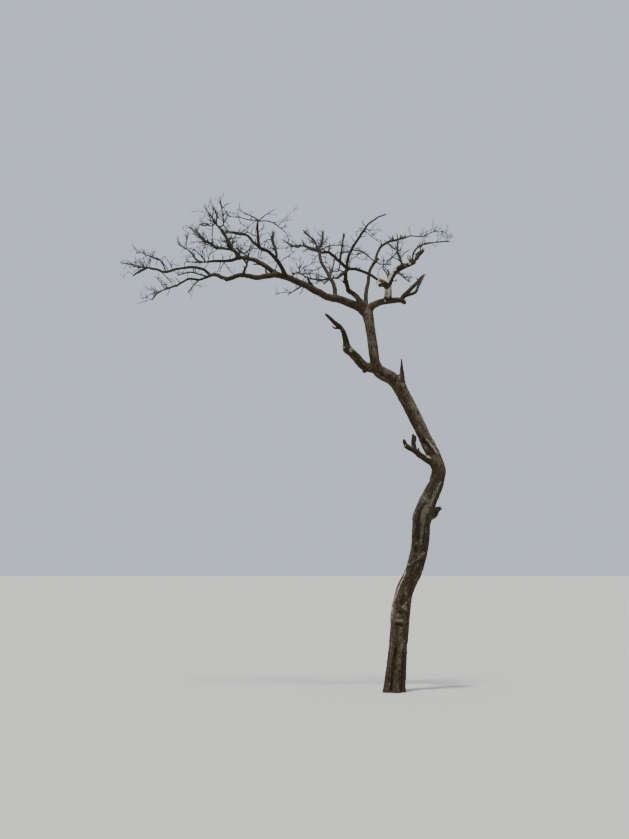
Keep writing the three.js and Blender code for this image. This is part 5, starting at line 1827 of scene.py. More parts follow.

# %% [markdown]
# ## Spurs seen one by one
# The rule gives the crown its habit, but on the photograph many stout spurs can be told apart. Each row below
# is one of them: its thickness in millimetres, then its places in the photograph, across and down in picture
# elements. The first place takes its depth from the wood that carries it: the nearest limb, stem or earlier
# spur. From there the spur leans to the front or the back.

# %% The spurs, by part of the crown
CAMERA_PLACE = (-1.6122, -26.0, 2.44)
CAMERA_TILT = math.radians(6.864)
LENS = 54.0
SENSOR = 36.0
PHOTO_SIZE = (629, 839)
SPURS = dict(
    left_end=(
        (16, 147, 267.5, 142, 267.5, 137, 267, 132, 265, 128, 264),
        (10, 130, 264.5, 128, 264, 124, 263.5, 120.5, 262),
        (17, 148, 268.5, 144, 270, 140, 272, 133.5, 275.5),
        (14, 178, 284.5, 172, 286.5, 166, 288.5, 160, 292, 157, 294, 153, 298.5, 151.5, 300),
        (8, 128, 264, 130, 267.5, 133, 269.5),
        (7, 127, 264, 125.5, 266.5, 124, 269.5),
        (9, 147, 268, 144.5, 261.5, 143.5, 257.5),
        (9, 149, 268, 150, 262, 151.5, 257, 153.5, 251),
        (7, 140.5, 267, 140.2, 263, 139.5, 260),
        (7, 134, 275.3, 128, 272, 123, 278),
        (12, 168, 270, 166, 266.5, 160, 260.5, 155, 258.5, 151, 257, 146, 254.5, 141, 252.5, 136, 253.5),
        (11, 172.5, 269.5, 170.5, 264.5, 168, 261, 165, 256),
        (7, 171, 264.8, 176, 265, 181, 266),
        (10, 160, 271.5, 166, 277, 170, 281, 173, 285.5),
        (8, 167, 276.5, 173, 280, 176, 285.5),
        (8, 158, 259.7, 156.5, 263, 157.5, 266),
        (8, 151, 299.5, 148, 297.5, 144, 293.5),
        (7, 147.5, 297.5, 144, 298.3, 140, 298),
        (9, 150, 299.5, 145, 301.5, 137, 303.5),
        (10, 165, 289, 162, 284, 159, 280, 154, 276),
        (7, 162, 284, 165, 284.8, 168, 284.5),
        (8, 157.5, 293.5, 156, 290, 154, 287),
        (9, 170, 287, 168.5, 292, 165.5, 297),
        (8, 188.5, 292, 190, 293.5, 192.5, 298.5),
        (7, 191.5, 279, 192, 282, 193.5, 285),
        (8, 195.5, 284, 198, 285.7, 201, 286.5, 206, 286),
        (8, 179.5, 275, 178.8, 273, 178.5, 271.5),
        (9, 188, 272.3, 187.6, 276, 187.5, 279),
        (8, 180, 283.5, 178, 280, 175, 277.5),
        (7, 200, 268, 198.5, 272, 196, 276),
    ),
    left_top=(
        (14, 200, 262.5, 197, 261, 194, 257, 190, 252, 185, 248, 177, 243),
        (11, 185, 248, 186, 241, 187, 237, 190, 230),
        (7, 186.5, 238, 185, 236, 184, 234.5),
        (13, 210, 261.5, 200, 262, 191, 262, 185, 262, 184.5, 267),
        (12, 206, 260.5, 202, 257.5, 197, 252, 193, 249.5, 190, 248),
        (9, 202, 257, 203, 250, 204.5, 246),
        (10, 208, 261, 209.5, 255, 211, 252.5, 215, 250.5, 217, 247),
        (9, 209, 262, 205, 267.5, 203.5, 270),
        (10, 224.5, 260, 221, 268, 219.5, 272.5),
        (9, 221, 260.5, 219, 268, 217.5, 272),
        (9, 223, 262, 229, 269, 234, 275),
        (10, 223, 259.5, 222.5, 256.5, 222, 254),
        (9, 229, 258.5, 230.5, 256, 232, 254.5),
        (20, 232, 251, 225, 249.5, 220, 249, 216, 248.5, 216, 246),
        (13, 216.5, 247, 212, 243.5, 207, 241, 203, 241, 201, 238),
        (11, 217, 248.7, 209, 245.5, 203, 243.5, 199, 243),
        (12, 215, 246, 210, 243, 205, 240, 201, 236.5, 198, 233.5, 195, 230, 190, 227),
        (8, 200, 236, 196, 234.5, 192, 233.5),
        (9, 199.5, 243, 199.6, 238, 199.5, 233),
        (9, 209, 241.5, 206, 236, 203, 233),
        (11, 212, 243.5, 212.5, 235, 212, 224),
        (8, 212.3, 230, 208, 229.5, 205, 225.5),
        (11, 219.5, 223, 216, 213, 213, 208.5),
        (14, 222, 223.5, 223, 217, 221.5, 206, 220, 197.5),
        (14, 219, 222, 215, 222.5, 210, 224, 205, 225, 198.5, 224.5),
        (9, 203.5, 225, 202, 223.5, 200.5, 221.5),
        (11, 210.5, 223.5, 210, 218, 208.5, 214, 205, 207.5),
        (9, 209.5, 216.5, 206, 213.5, 203, 211.5),
        (6, 203, 211.5, 198, 211.2, 192, 211.5),
        (8, 208, 224.3, 206.5, 222.5, 205, 221),
        (10, 221.5, 223, 224, 221.5, 227, 223, 231, 230),
        (10, 223, 224, 225, 228, 228, 232),
        (16, 225, 232.5, 232, 233, 240, 235, 247, 235.7),
        (9, 240, 234.7, 243, 230.5, 245, 229),
        (13, 228, 239.5, 235, 238, 241, 237.5),
        (9, 229, 219, 227, 215, 225.5, 211.5),
        (8, 237, 217.5, 233, 214, 229, 212),
        (9, 238, 219.5, 241, 223, 245, 226.5),
        (15, 237.5, 251, 236, 244, 237, 240),
        (10, 223, 217, 224.2, 214, 226, 211),
        (11, 226, 238, 229, 243.5, 233, 246.5),
        (10, 229, 245, 226.5, 243.5, 224.5, 240),
        (9, 227, 242, 223, 241, 220, 237),
        (8, 208.5, 261, 207.5, 254, 206, 247),
        (7, 206, 261.5, 201, 254, 199.5, 247.5),
        (7, 204, 261.5, 204.5, 256, 203, 251),
        (7, 213, 261, 213.5, 256, 212, 253),
        (8, 201.5, 240.5, 197, 236, 193.5, 231.5),
        (8, 241, 257.5, 240, 252, 241, 248),
        (8, 237.5, 255.5, 242, 248, 247, 240.5),
        (7, 240, 257.5, 238.5, 248, 238, 242),
        (7, 246, 259.5, 249.5, 253, 250.5, 249),
        (12, 229, 248, 227, 246, 224, 246.5),
        (11, 229, 244, 232, 241.5, 233.5, 239),
        (11, 228, 242, 231, 238.5, 231.5, 235),
        (12, 230, 247, 233, 244, 234, 241.5),
        (10, 228, 244, 226, 240, 226.5, 236),
        (8, 222, 249.3, 221, 245, 218.5, 240.5),
        (8, 226, 249.6, 227.5, 245.5, 226, 241),
        (9, 206, 242, 205, 247, 202, 250.5),
        (8, 193, 250, 190, 255, 186.5, 256.5),
        (8, 180, 244.5, 177.5, 240, 178.5, 236),
        (8, 188, 233.5, 184, 230, 182, 226),
        (9, 213, 209, 212, 204, 209, 201.5),
        (8, 206, 209.5, 209.5, 204.5, 211, 199.5),
        (7, 222, 209, 226, 204.5, 230, 203),
    ),
    perch=(
        (8, 257, 220, 252, 224, 248, 227.5, 243, 231, 240, 233),
        (7, 248, 228, 243, 225, 240, 222.5),
        (13, 257.5, 236.5, 253, 235, 250, 233, 247, 232.5, 244, 233.5, 241, 234.5),
        (7, 251, 233.5, 252, 230, 253.5, 227),
        (7, 255, 235.5, 255.5, 231, 256, 228),
        (7, 247, 232.5, 248, 229, 247, 226),
        (15, 256, 248, 250, 246.5, 245, 246, 240, 245),
        (9, 253, 247, 254.5, 243, 255.5, 240),
        (9, 257, 247.5, 256.5, 243, 255, 239),
        (21, 278.5, 258, 277, 253, 275, 249, 273.5, 245, 272, 241, 271, 238, 272, 235, 273.5, 232),
        (14, 273.5, 243, 273.7, 236, 275, 231),
        (10, 271, 239.5, 268, 239.5, 265, 241, 262, 244, 260, 247.5),
        (13, 264, 249.5, 264.5, 245, 266, 242, 267, 240),
        (8, 270, 252, 270.5, 248, 271.5, 245, 272.5, 242),
        (8, 264, 249, 272, 248.5, 280, 248.5, 287, 248),
        (12, 275, 272, 276, 267, 277, 263, 277, 260.5),
        (10, 258.5, 249.5, 258.5, 254, 259, 258),
        (11, 261, 250, 261.2, 254, 261, 259),
        (8, 262, 259.5, 265, 257.5, 268, 256),
        (9, 257, 250, 254, 254, 251, 257),
        (6, 268, 262, 271, 262, 274, 262.5),
        (7, 249, 258.5, 245, 255, 240, 251),
        (12, 249, 260.5, 246, 266, 244, 270, 242.5, 273),
        (9, 246.5, 265.5, 246, 269, 246.5, 273),
        (9, 280, 262, 285, 258, 289, 255.5, 295, 251),
        (7, 288, 256, 295, 259, 300, 260),
        (11, 243, 274, 244, 270.5, 244.5, 267),
        (10, 293, 279, 293, 275, 291, 267),
        (8, 269, 253, 272, 250.5, 276, 250),
        (8, 275, 252, 272.5, 248.5, 270, 247.5),
        (8, 266, 250, 268, 246, 269, 242.5),
        (7, 262, 244.3, 259.5, 241, 260, 237),
        (9, 260, 232, 263, 228, 263.5, 224),
        (8, 257.8, 238, 262, 234.5, 266, 233.5),
    ),
    rising=(
        (14, 299, 274, 299, 268, 300, 263, 300.3, 257),
        (9, 298.5, 270, 301, 266, 304, 262),
        (9, 300, 266, 303, 268, 305, 271, 305.5, 274),
        (9, 300, 273, 302, 269, 305, 266.5, 310, 264.5, 316, 262, 320, 262.5),
        (9, 299, 273.5, 305, 273.5, 311, 273),
        (10, 301, 274.5, 295, 273, 291, 274),
        (24, 320, 251.5, 312, 248, 302, 245.5, 296, 246, 290, 247),
        (14, 296, 246, 290, 245, 288, 243.5),
        (12, 319, 249, 315, 243, 312, 239.5, 308, 236, 304, 232.5),
        (8, 316, 245, 311, 242, 308, 239),
        (13, 319, 246.5, 317, 247, 314.5, 248),
        (8, 319, 248, 318, 243, 317.5, 239),
        (10, 320, 250, 320.5, 243, 320.5, 238),
        (14, 322, 250, 322.5, 243, 323.5, 238, 323.5, 232),
        (15, 326, 252.5, 323, 249, 320.5, 245.5, 318, 241.5),
        (8, 320.5, 245, 323, 244.5, 326, 244.5, 326.5, 242),
        (9, 324.5, 252.5, 325, 250, 326, 247),
        (14, 329, 252, 329.5, 248, 329.5, 243),
        (10, 328, 252.5, 330, 246.5, 335, 245.5, 340, 245.5, 345, 246.5, 350, 247.5),
        (9, 318, 254, 315.5, 257, 315, 260.5, 313, 262.5),
        (12, 329, 279, 324, 277, 321, 276, 316, 274, 310, 274, 305, 274),
        (17, 329, 279.5, 327, 281.5, 325, 282.5, 321, 281, 318, 281),
        (13, 326, 282, 325, 284, 324, 285.5),
        (14, 320, 281, 318, 282, 316, 284.5),
        (11, 317.5, 283.5, 311, 283.5, 306, 283.5),
        (12, 318.5, 280.5, 318.5, 276, 318.5, 271, 320, 267),
        (10, 321.5, 267, 317, 269, 313, 270, 309, 270.5),
        (10, 323, 267, 327, 267, 330, 268, 332, 270.5),
        (8, 322, 262, 326, 263, 329, 265, 331.5, 268),
        (8, 325, 263, 325.5, 257, 327, 254),
        (7, 310, 273.8, 313, 270.5, 317, 270.5),
        (9, 324.5, 270, 328, 272, 331, 273),
        (9, 309, 248, 306, 251, 303, 252),
        (9, 304, 245.5, 302, 242, 301.5, 239),
        (8, 293, 246.5, 290, 250.5, 287, 252),
        (10, 288, 245, 286, 242.5, 283, 240, 281, 239),
        (9, 287.5, 246, 287.5, 248, 285, 249.5),
        (8, 288, 244.5, 288.5, 240, 288, 236.5),
        (7, 291, 245, 291, 249.5, 293, 252),
        (11, 291, 292, 286, 292.3, 281, 293, 275, 295),
        (7, 277.5, 293.8, 276.8, 290, 276.5, 287.5),
        (10, 303, 287.5, 301.5, 291.5, 300, 294.5),
        (8, 311, 278, 309.5, 281, 307, 283),
        (8, 305, 276.5, 303.5, 280, 300, 282),
        (8, 321, 255, 324, 257, 327, 257.5),
    ),
    middle=(
        (21, 330, 279, 331, 274, 332, 270, 333.5, 264, 335, 259, 335.5, 256),
        (19, 340, 262.5, 341, 255, 341.5, 250, 342.5, 243, 343.5, 238, 344.5, 234),
        (22, 346, 273, 342, 275, 340, 276.5, 338, 278.5, 335, 278.5, 331, 278),
        (16, 340.3, 262.5, 339.5, 266, 338.5, 271, 334, 271.5, 331.5, 272),
        (9, 331.5, 274, 333.5, 276, 335.5, 277.5),
        (9, 340, 276.5, 338, 274.8, 335.5, 275),
        (9, 335, 256, 337, 253, 341, 252.5, 347, 252.5, 350, 253, 354, 255),
        (11, 349.5, 268.5, 349.8, 263, 352, 259, 356, 256, 360, 254, 365, 252.5),
        (9, 354, 248, 357, 249, 361, 250.5, 365, 252.5, 366.5, 255.5, 366, 259),
        (8, 356, 257.5, 361, 259, 366, 259.5, 372, 260),
        (8, 353.5, 249, 352.5, 246, 352, 243.5),
        (10, 363, 232, 361, 229.5, 359.5, 228),
        (7, 361.5, 230, 357.5, 231.5, 356.5, 234, 357.5, 237, 359.5, 238.5),
        (20, 362, 233.5, 364, 232, 366, 231.5),
        (10, 360, 237, 363, 237, 366, 236),
        (9, 365, 232, 370, 235, 375, 239, 379, 242),
        (7, 372, 236.5, 374, 234, 376, 233),
        (14, 361.5, 272, 359.5, 270, 359, 267.5),
        (12, 344.5, 282, 342.5, 281.5, 341.5, 280),
        (10, 347.3, 264, 345, 261, 345.5, 258),
        (8, 351, 252, 347.5, 250.5, 345, 248),
        (9, 369, 223.5, 372, 220.5, 376, 219.5),
        (8, 366, 227, 363, 224, 362, 221),
        (9, 357, 242.5, 353.5, 240.5, 351.5, 237),
    ),
    right=(
        (12, 387, 242, 385.5, 241, 384, 240),
        (12, 391, 240.5, 390, 238, 388, 236),
        (11, 391.5, 240, 392, 238.5, 393.5, 236),
        (13, 397.3, 239.5, 397.3, 237, 397, 234.5),
        (12, 402.5, 238, 402, 236, 401, 234.5),
        (18, 405, 238, 405.3, 236.5, 405.3, 234.5),
        (24, 401.5, 265, 400, 261, 399, 257, 397.5, 253, 397, 250, 397, 245, 397, 240),
        (17, 411, 258, 413, 252.5, 417, 247.5, 421, 245, 425, 244, 430, 242.7, 438, 241.8, 446, 241,
         450, 241.5),
        (11, 399, 255, 400, 252.5, 400.7, 250),
        (12, 397, 248, 395.5, 246.5, 395, 244),
        (11, 387, 242.5, 391, 245.5, 394, 249, 397, 252),
        (11, 397.5, 251.5, 392, 257, 388, 261, 384, 265, 381, 267.5),
        (13, 381.5, 267, 379, 270, 378.5, 274, 378.5, 279),
        (14, 383.5, 265, 387, 265, 391.5, 265.5),
        (9, 387.5, 265, 387.3, 262.5, 387, 260.5),
        (9, 386, 264.7, 388, 263, 389.5, 261.5),
        (10, 374.5, 260, 378, 263, 380.5, 265.5),
        (14, 389.5, 279, 389.3, 275.5, 387.5, 271.5, 386, 269.5, 383.5, 266.5),
        (11, 391, 276.5, 389.5, 273, 387.5, 270.5),
        (11, 395.5, 272, 394.7, 270, 394.5, 267.5),
        (12, 396, 273.5, 400, 275, 404, 278, 407, 280, 409.5, 282),
        (8, 400.5, 275.3, 403, 274, 407, 274),
        (8, 407, 280, 410, 278, 413.5, 278),
        (17, 391, 281, 394, 281, 397, 279.5),
        (24, 402, 267, 401.5, 264, 401.5, 262),
        (20, 411, 262, 409.5, 258.5, 408.5, 255.5),
        (16, 420, 252, 420, 248.5, 421.5, 246),
        (12, 418, 281, 417.5, 279.5, 417, 278),
        (6, 423.5, 275.5, 425.5, 274, 427.5, 273.3),
        (16, 405, 297, 403.8, 295.5, 403, 293.5),
        (9, 441, 232, 441.5, 236, 441, 240),
        (6, 441.5, 236, 447, 236.5, 453, 236.5),
        (6, 445, 236.5, 446.5, 234, 447, 232),
        (7, 435, 231.5, 435, 229.5, 435, 227.5),
        (6, 441, 234.5, 438, 235.7, 435.5, 235),
        (7, 446, 241.3, 446.5, 240, 446.5, 238),
        (6, 398.5, 244, 403, 240.5, 407, 238),
        (8, 424, 235.3, 427, 232, 430.5, 229.5),
        (7, 431, 243.3, 434, 245.5, 438, 246),
        (6, 437, 242.5, 438.5, 239, 438, 236),
    ),
)
LEAN = 0.5
TIP_SHARE = 0.55
THINNEST = 0.003
LONG_SPUR = 0.25
STOUT_PULL = 0.03
FOCAL = LENS / SENSOR * max(PHOTO_SIZE)
NOT_BEARING = ("trunk", "dead_limb_lower", "dead_limb_upper")


def seen(across, down, depth):
    """The place that the photograph shows at one of its own places, for a depth north of the origin."""
    side = (across - PHOTO_SIZE[0] / 2) / FOCAL
    rise = (PHOTO_SIZE[1] / 2 - down) / FOCAL
    far = (depth - CAMERA_PLACE[1]) / (math.cos(CAMERA_TILT) - rise * math.sin(CAMERA_TILT))
    high = far * (math.sin(CAMERA_TILT) + rise * math.cos(CAMERA_TILT))
    return np.array([CAMERA_PLACE[0] + far * side, depth, CAMERA_PLACE[2] + high])


def shown_at(points):
    """Where points show in the photograph."""
    out = points - np.array(CAMERA_PLACE)
    far = out[:, 1] * math.cos(CAMERA_TILT) + out[:, 2] * math.sin(CAMERA_TILT)
    high = out[:, 2] * math.cos(CAMERA_TILT) - out[:, 1] * math.sin(CAMERA_TILT)
    across = PHOTO_SIZE[0] / 2 + FOCAL * out[:, 0] / far
    return np.column_stack([across, PHOTO_SIZE[1] / 2 - FOCAL * high / far])


def rows_along(line, every=0.01):
    """Places close together along a line, with their radii."""
    t = np.linspace(0, 1, max(4, round(line.length / every)))
    return np.column_stack([line.at(t), line.radius(t)])


BEARERS = [rows_along(line) for name, line in limbs.items() if name not in NOT_BEARING]
BEARERS += [rows_along(row) for rows in leaders.values() for row in rows]


def spur_line(number, thickness, places, carriers):
    """A spur that starts on the wood that carries it, and how far off its first place was."""
    places = np.array(places, float).reshape(-1, 2)
    off = np.linalg.norm(shown_at(carriers[:, :3]) - places[0], axis=1)
    nearest = (off - carriers[:, 3] / MM * STOUT_PULL).argmin()
    root = carriers[nearest, :3]
    draw = dice(7000 + 23 * number)
    long = np.concatenate([[0], np.cumsum(np.linalg.norm(np.diff(places, axis=0), axis=1))])
    metre = (root[1] - CAMERA_PLACE[1]) * SENSOR / LENS / max(PHOTO_SIZE)
    lean = LEAN * (2 * draw() - 1) * metre
    rest = [seen(u, v, root[1] + lean * run) for (u, v), run in zip(places[1:], long[1:])]
    thick = min(thickness * MM, max(0.9 * carriers[nearest, 3], 0.006))
    return Line([root, *rest], [thick, max(TIP_SHARE * thick, THINNEST)]), off[nearest]


spurs = {}
carriers = np.vstack(BEARERS)
gaps = []
for region, rows in SPURS.items():
    spurs[region] = []
    for number, (thickness, *places) in enumerate(rows):
        spur, gap = spur_line(number + 100 * len(spurs), thickness, places, carriers)
        spurs[region].append(spur)
        carriers = np.vstack([carriers, rows_along(spur)])
        gaps.append((round(float(gap), 1), region, number))


def shoots_on(spur, seed):
    """Short shoots on a spur, by the rule: the longer spurs bear longer ones too."""
    found = []
    if spur.length > LONG_SPUR:
        branch(spur, seed, 1, 0.5, free_of_limbs, found)
    branch(spur, seed + 1, 2, 0.8, free_of_limbs, found)
    return found


spur_shoots = {}
for region, rows in spurs.items():
    shoots = [shoots_on(spur, 50 * i + len(region)) for i, spur in enumerate(rows)]
    spur_shoots[region] = sum(shoots, [])
print("spurs:", {region: (len(spurs[region]), len(spur_shoots[region])) for region in SPURS})
print("farthest first places:", sorted(gaps)[-12:])

# %% [markdown]
# ## Tubes for stems and twigs
# Every line is now walked in short steps, pushed crooked like the boughs, and given small swellings where
# buds have been. Then the tube tree sweeps it. Masses are gathered by their part of the crown.

# %% Sweep the stems and the twigs
REGIONS = dict(
    left_end=(
        "left_lower_twigs", "left_tip_twigs", "left_fan_twigs", "left_hook_twigs", "left_drop_twigs",
    ),
    left_top=(
        "left_upper_twigs", "left_crown_twigs", "left_side_twigs", "back_twigs",
    ),
    perch=(
        "perch_twigs", "perch_side_twigs", "perch_left_twigs", "front_twigs", "bridge_twigs", "under_twigs",
    ),
    rising=(
        "rising_twigs", "rising_low_twigs",
    ),
    middle=(
        "middle_top_twigs", "middle_arc_twigs", "middle_left_twigs", "middle_spire", "middle_low_twigs",
    ),
    right=(
        "centre_top_twigs", "centre_side_twigs", "right_top_twigs", "right_rise_twigs", "right_side_twigs",
        "right_cross_twigs",
    ),
)
LEADER_STEP, LEADER_SIDES = 0.018, 9
SPUR_STEP, SPUR_SIDES = 0.013, 8
TWIG_STEPS = (0.020, 0.018, 0.014)
TWIG_SIDES = (7, 6, 5)
BARK_ON = (1.45, 1.5, 1.6)
STEM_BARK = 1.3
DEAD_SHARE = 0.07
RUSTY = ("left_crown_twigs", "left_side_twigs")


def walked(lines, every, woods, stouter=1.0):
    """Paths for tubes: even steps along each line, all pushed crooked at once, with small swellings."""
    points, radii, counts = [], [], []
    for one in lines:
        steps = max(3, round(one.length / every))
        t = np.linspace(0, 1, steps + 1)
        points.append(one.at(t))
        radii.append(one.radius(t))
        counts.append(steps + 1)
    pushed = crooked(np.vstack(points))
    thick = stouter * np.concatenate(radii) * (1 + 0.16 * soft_noise(pushed / 0.021, 83))
    ends = np.cumsum(counts)
    return [(pushed[e - n:e], thick[e - n:e], wood) for e, n, wood in zip(ends, counts, woods)]


def wood_of(mass, level, index):
    """Which wood a twig is of: old, young, or now and then dead."""
    draw = dice(MASSES[mass][0] * 1000 + index * 13 + level)()
    dead = DEAD_SHARE * (4 if mass in RUSTY else 1)
    if draw < dead:
        return 2
    return 0 if level == 0 else 1


pieces = {}
paths_by_region = {}
for region, masses in REGIONS.items():
    stems = [row for mass in masses for row in leaders[mass]]
    stem_paths = walked(stems, LEADER_STEP, [0] * len(stems), STEM_BARK)
    pieces[region + "_stems"] = tubes(region + "_stems", stem_paths, LEADER_SIDES, WOODS)
    spur_paths = walked(spurs[region], SPUR_STEP, [n % 5 // 3 for n in range(len(spurs[region]))])
    meshes = [tubes(region + "_spurs", spur_paths, SPUR_SIDES, WOODS)]
    thorny = stem_paths + spur_paths
    for level in range(TWIG["levels"]):
        lines, woods = [], []
        for mass in masses:
            for i, (found_level, twig) in enumerate(twigs[mass] + finer_twigs[mass]):
                if found_level == level:
                    lines.append(twig)
                    woods.append(wood_of(mass, level, i))
        side = [twig for found_level, twig in spur_shoots[region] if found_level == level]
        paths = walked(lines + side, TWIG_STEPS[level], woods + [level % 2] * len(side), BARK_ON[level])
        thorny += paths
        meshes.append(tubes(f"{region}_{level}", paths, TWIG_SIDES[level], WOODS))
    paths_by_region[region] = thorny
    pieces[region + "_twig_wood"] = meshes


def joined(name, meshes):
    """One mesh out of several."""
    parts = [show(f"{name}_{i}", mesh) for i, mesh in enumerate(meshes)]
    with bpy.context.temp_override(active_object=parts[0], selected_editable_objects=parts):
        bpy.ops.object.join()
    mesh = parts[0].data
    bpy.data.objects.remove(parts[0])
    mesh.name = name
    return mesh


for name in [n for n in pieces if n.endswith("_twig_wood")]:
    pieces[name] = joined(name, pieces[name])
bough_paths = walked([twig for _, twig in on_boughs], TWIG_STEPS[1], [1] * len(on_boughs))
pieces["bough_shoots"] = tubes("bough_shoots", bough_paths, TWIG_SIDES[1], WOODS)

# %% [markdown]
# ## Thorns
# Acacia twigs carry short thorns and bud spurs all along, each turned 137.5 degrees from the last. That is
# a repeat along a path, so Geometry Nodes does it: the lines become curves again, are stepped evenly, and
# one small bent thorn is set on each step, turned, tilted and sized by seeded chance.

# %% The thorn and its tree
THORN_RINGS = ((0.0, 0.14), (0.3, 0.105), (0.65, 0.06))
THORN_SIDES = 4
THORN_BEND = 0.12
THORN_TILT = (math.radians(40), math.radians(75))
TILT_SEED = 5
THORN_VALUES = {"Step": 0.042, "Share": 0.75, "Smallest": 0.012, "Largest": 0.046}


def thorn_mesh():
    """A thorn one unit long, a little bent, closed at both ends."""
    points, faces = [], []
    for high, wide in THORN_RINGS:
        for k in range(THORN_SIDES):
            a = 2 * math.pi * k / THORN_SIDES
            points.append((wide * math.cos(a) + THORN_BEND * high * high, wide * math.sin(a), high))
    points.append((THORN_BEND, 0, 1))
    tip = len(points) - 1
    for ring in range(len(THORN_RINGS) - 1):
        for k in range(THORN_SIDES):
            a, b = ring * THORN_SIDES + k, ring * THORN_SIDES + (k + 1) % THORN_SIDES
            faces.append((a, b, b + THORN_SIDES, a + THORN_SIDES))
    last = (len(THORN_RINGS) - 1) * THORN_SIDES
    faces += [(last + k, last + (k + 1) % THORN_SIDES, tip) for k in range(THORN_SIDES)]
    faces.append(tuple(range(THORN_SIDES))[::-1])
    mesh = bpy.data.meshes.new("thorn")
    mesh.from_pydata(points, [], faces)
    return mesh


def turned(tree, rotation, axis, angle):
    """A rotation followed by a turn about its own axis."""
    by = add(tree, "FunctionNodeAxisAngleToRotation", {"Axis": axis, "Angle": angle})
    both = {"Rotation": rotation, "Rotate By": by.outputs["Rotation"]}
    return add(tree, "FunctionNodeRotateRotation", both, rotation_space="LOCAL").outputs["Rotation"]


def make_thorn_tree():
    """Lines become rows of thorns, with a step, a share, a smallest and a largest size."""
    tree, given, end, ids = new_tree("thorns along lines", {
        "Thorn": ("Object", None),
        "Step": ("Float", 0.05),
        "Share": ("Float", 0.7),
        "Smallest": ("Float", 0.01),
        "Largest": ("Float", 0.03),
        "Seed": ("Int", 1),
        "Wood": ("Material", None),
    })
    curve = add(tree, "GeometryNodeMeshToCurve", {"Mesh": given["Geometry"]}).outputs["Curve"]
    even = add(tree, "GeometryNodeResampleCurve", {"Curve": curve, "Length": given["Step"]}, mode="LENGTH")
    odds = {"Probability": given["Share"], "Seed": given["Seed"]}
    chance = add(tree, "FunctionNodeRandomValue", odds, data_type="BOOLEAN")
    tangent = add(tree, "GeometryNodeInputTangent").outputs["Tangent"]
    upright = add(tree, "FunctionNodeAlignRotationToVector", {"Vector": tangent}, axis="Z")
    index = add(tree, "GeometryNodeInputIndex").outputs["Index"]
    golden = add(tree, "ShaderNodeMath", {0: index, 1: math.radians(TWIG["turn"])}, operation="MULTIPLY")
    rotation = turned(tree, upright.outputs["Rotation"], (0, 0, 1), golden.outputs["Value"])
    limits = {"Min_001": THORN_TILT[0], "Max_001": THORN_TILT[1], "Seed": TILT_SEED}
    tilt = add(tree, "FunctionNodeRandomValue", limits, data_type="FLOAT")
    rotation = turned(tree, rotation, (1, 0, 0), tilt.outputs[1])
    limits = {"Min_001": given["Smallest"], "Max_001": given["Largest"]}
    size = add(tree, "FunctionNodeRandomValue", limits, data_type="FLOAT")
    thorn = add(tree, "GeometryNodeObjectInfo", {"Object": given["Thorn"]})
    set_out = add(tree, "GeometryNodeInstanceOnPoints", {
        "Points": even.outputs["Curve"],
        "Selection": chance.outputs[3],
        "Instance": thorn.outputs["Geometry"],
        "Rotation": rotation,
        "Scale": size.outputs[1],
    })
    realize = add(tree, "GeometryNodeRealizeInstances", {"Geometry": set_out.outputs["Instances"]})
    painted = {"Geometry": realize.outputs["Geometry"], "Material": given["Wood"]}
    paint = add(tree, "GeometryNodeSetMaterial", painted)
    feed(tree, end["Geometry"], paint.outputs["Geometry"])
    return tree, ids


THORN_TREE, THORN_IDS = make_thorn_tree()
thorn = show("thorn", thorn_mesh())
for number, (region, paths) in enumerate(paths_by_region.items()):
    name = region + "_thorns"
    values = {"Thorn": thorn, "Seed": number, "Wood": WOODS[1], **THORN_VALUES}
    pieces[name] = worked_out(lines_object(region, paths), name, THORN_TREE, THORN_IDS, values)
bpy.data.objects.remove(thorn)

# %% [markdown]
# ## Torn wood
# Where a limb was snapped, pale splinters stand round the break. They are short tapering slivers, set in
# rings on each snapped end and leaning out, a few long ones among many short.

# %% Splinters on the snapped ends
SPLINTER_SIDES = 4
FEWEST, MORE = 6, 26
THICK_END = 0.05


def splinters():
    """Paths of splinters on every snapped end, the thicker end with more of them."""
    paths = []
    for number, name in enumerate(SNAPPED):
        last = LAST_SAMPLE[limb_names.index(name)]
        draw = dice(4000 + number * 19)
        radius = RADIUS[last]
        face = TANGENT[last] + np.array(SNAPPED[name])
        face = face / np.linalg.norm(face)
        for _ in range(int(FEWEST + MORE * radius / THICK_END)):
            reach = radius * 0.86 * math.sqrt(draw())
            turn = 2 * math.pi * draw()
            side = NORMAL[last] * math.cos(turn) + BINORMAL[last] * math.sin(turn)
            across = side * reach
            root = MIDDLE[last] + across - face * (across @ face) - TANGENT[last] * radius * 0.3
            long = radius * (0.35 + 0.5 * draw() + 0.6 * draw() ** 3)
            scatter = np.array([draw() - 0.5 for _ in range(3)])
            way = TANGENT[last] + side * 0.25 * (reach / radius) + 0.12 * scatter
            thick = 0.0022 + 0.05 * radius
            points = np.array([root, root + way * (long * 0.6), root + way * (long * 1.05)])
            paths.append((points, np.array([thick, thick * 0.7, thick * 0.12]), 0))
    return paths


pieces["torn_wood"] = tubes("torn_wood", splinters(), SPLINTER_SIDES, (TORN_WOOD,) * len(WOOD_NAMES))
for name, mesh in pieces.items():
    mesh.calc_loop_triangles()
    print(name, "triangles:", len(mesh.loop_triangles))
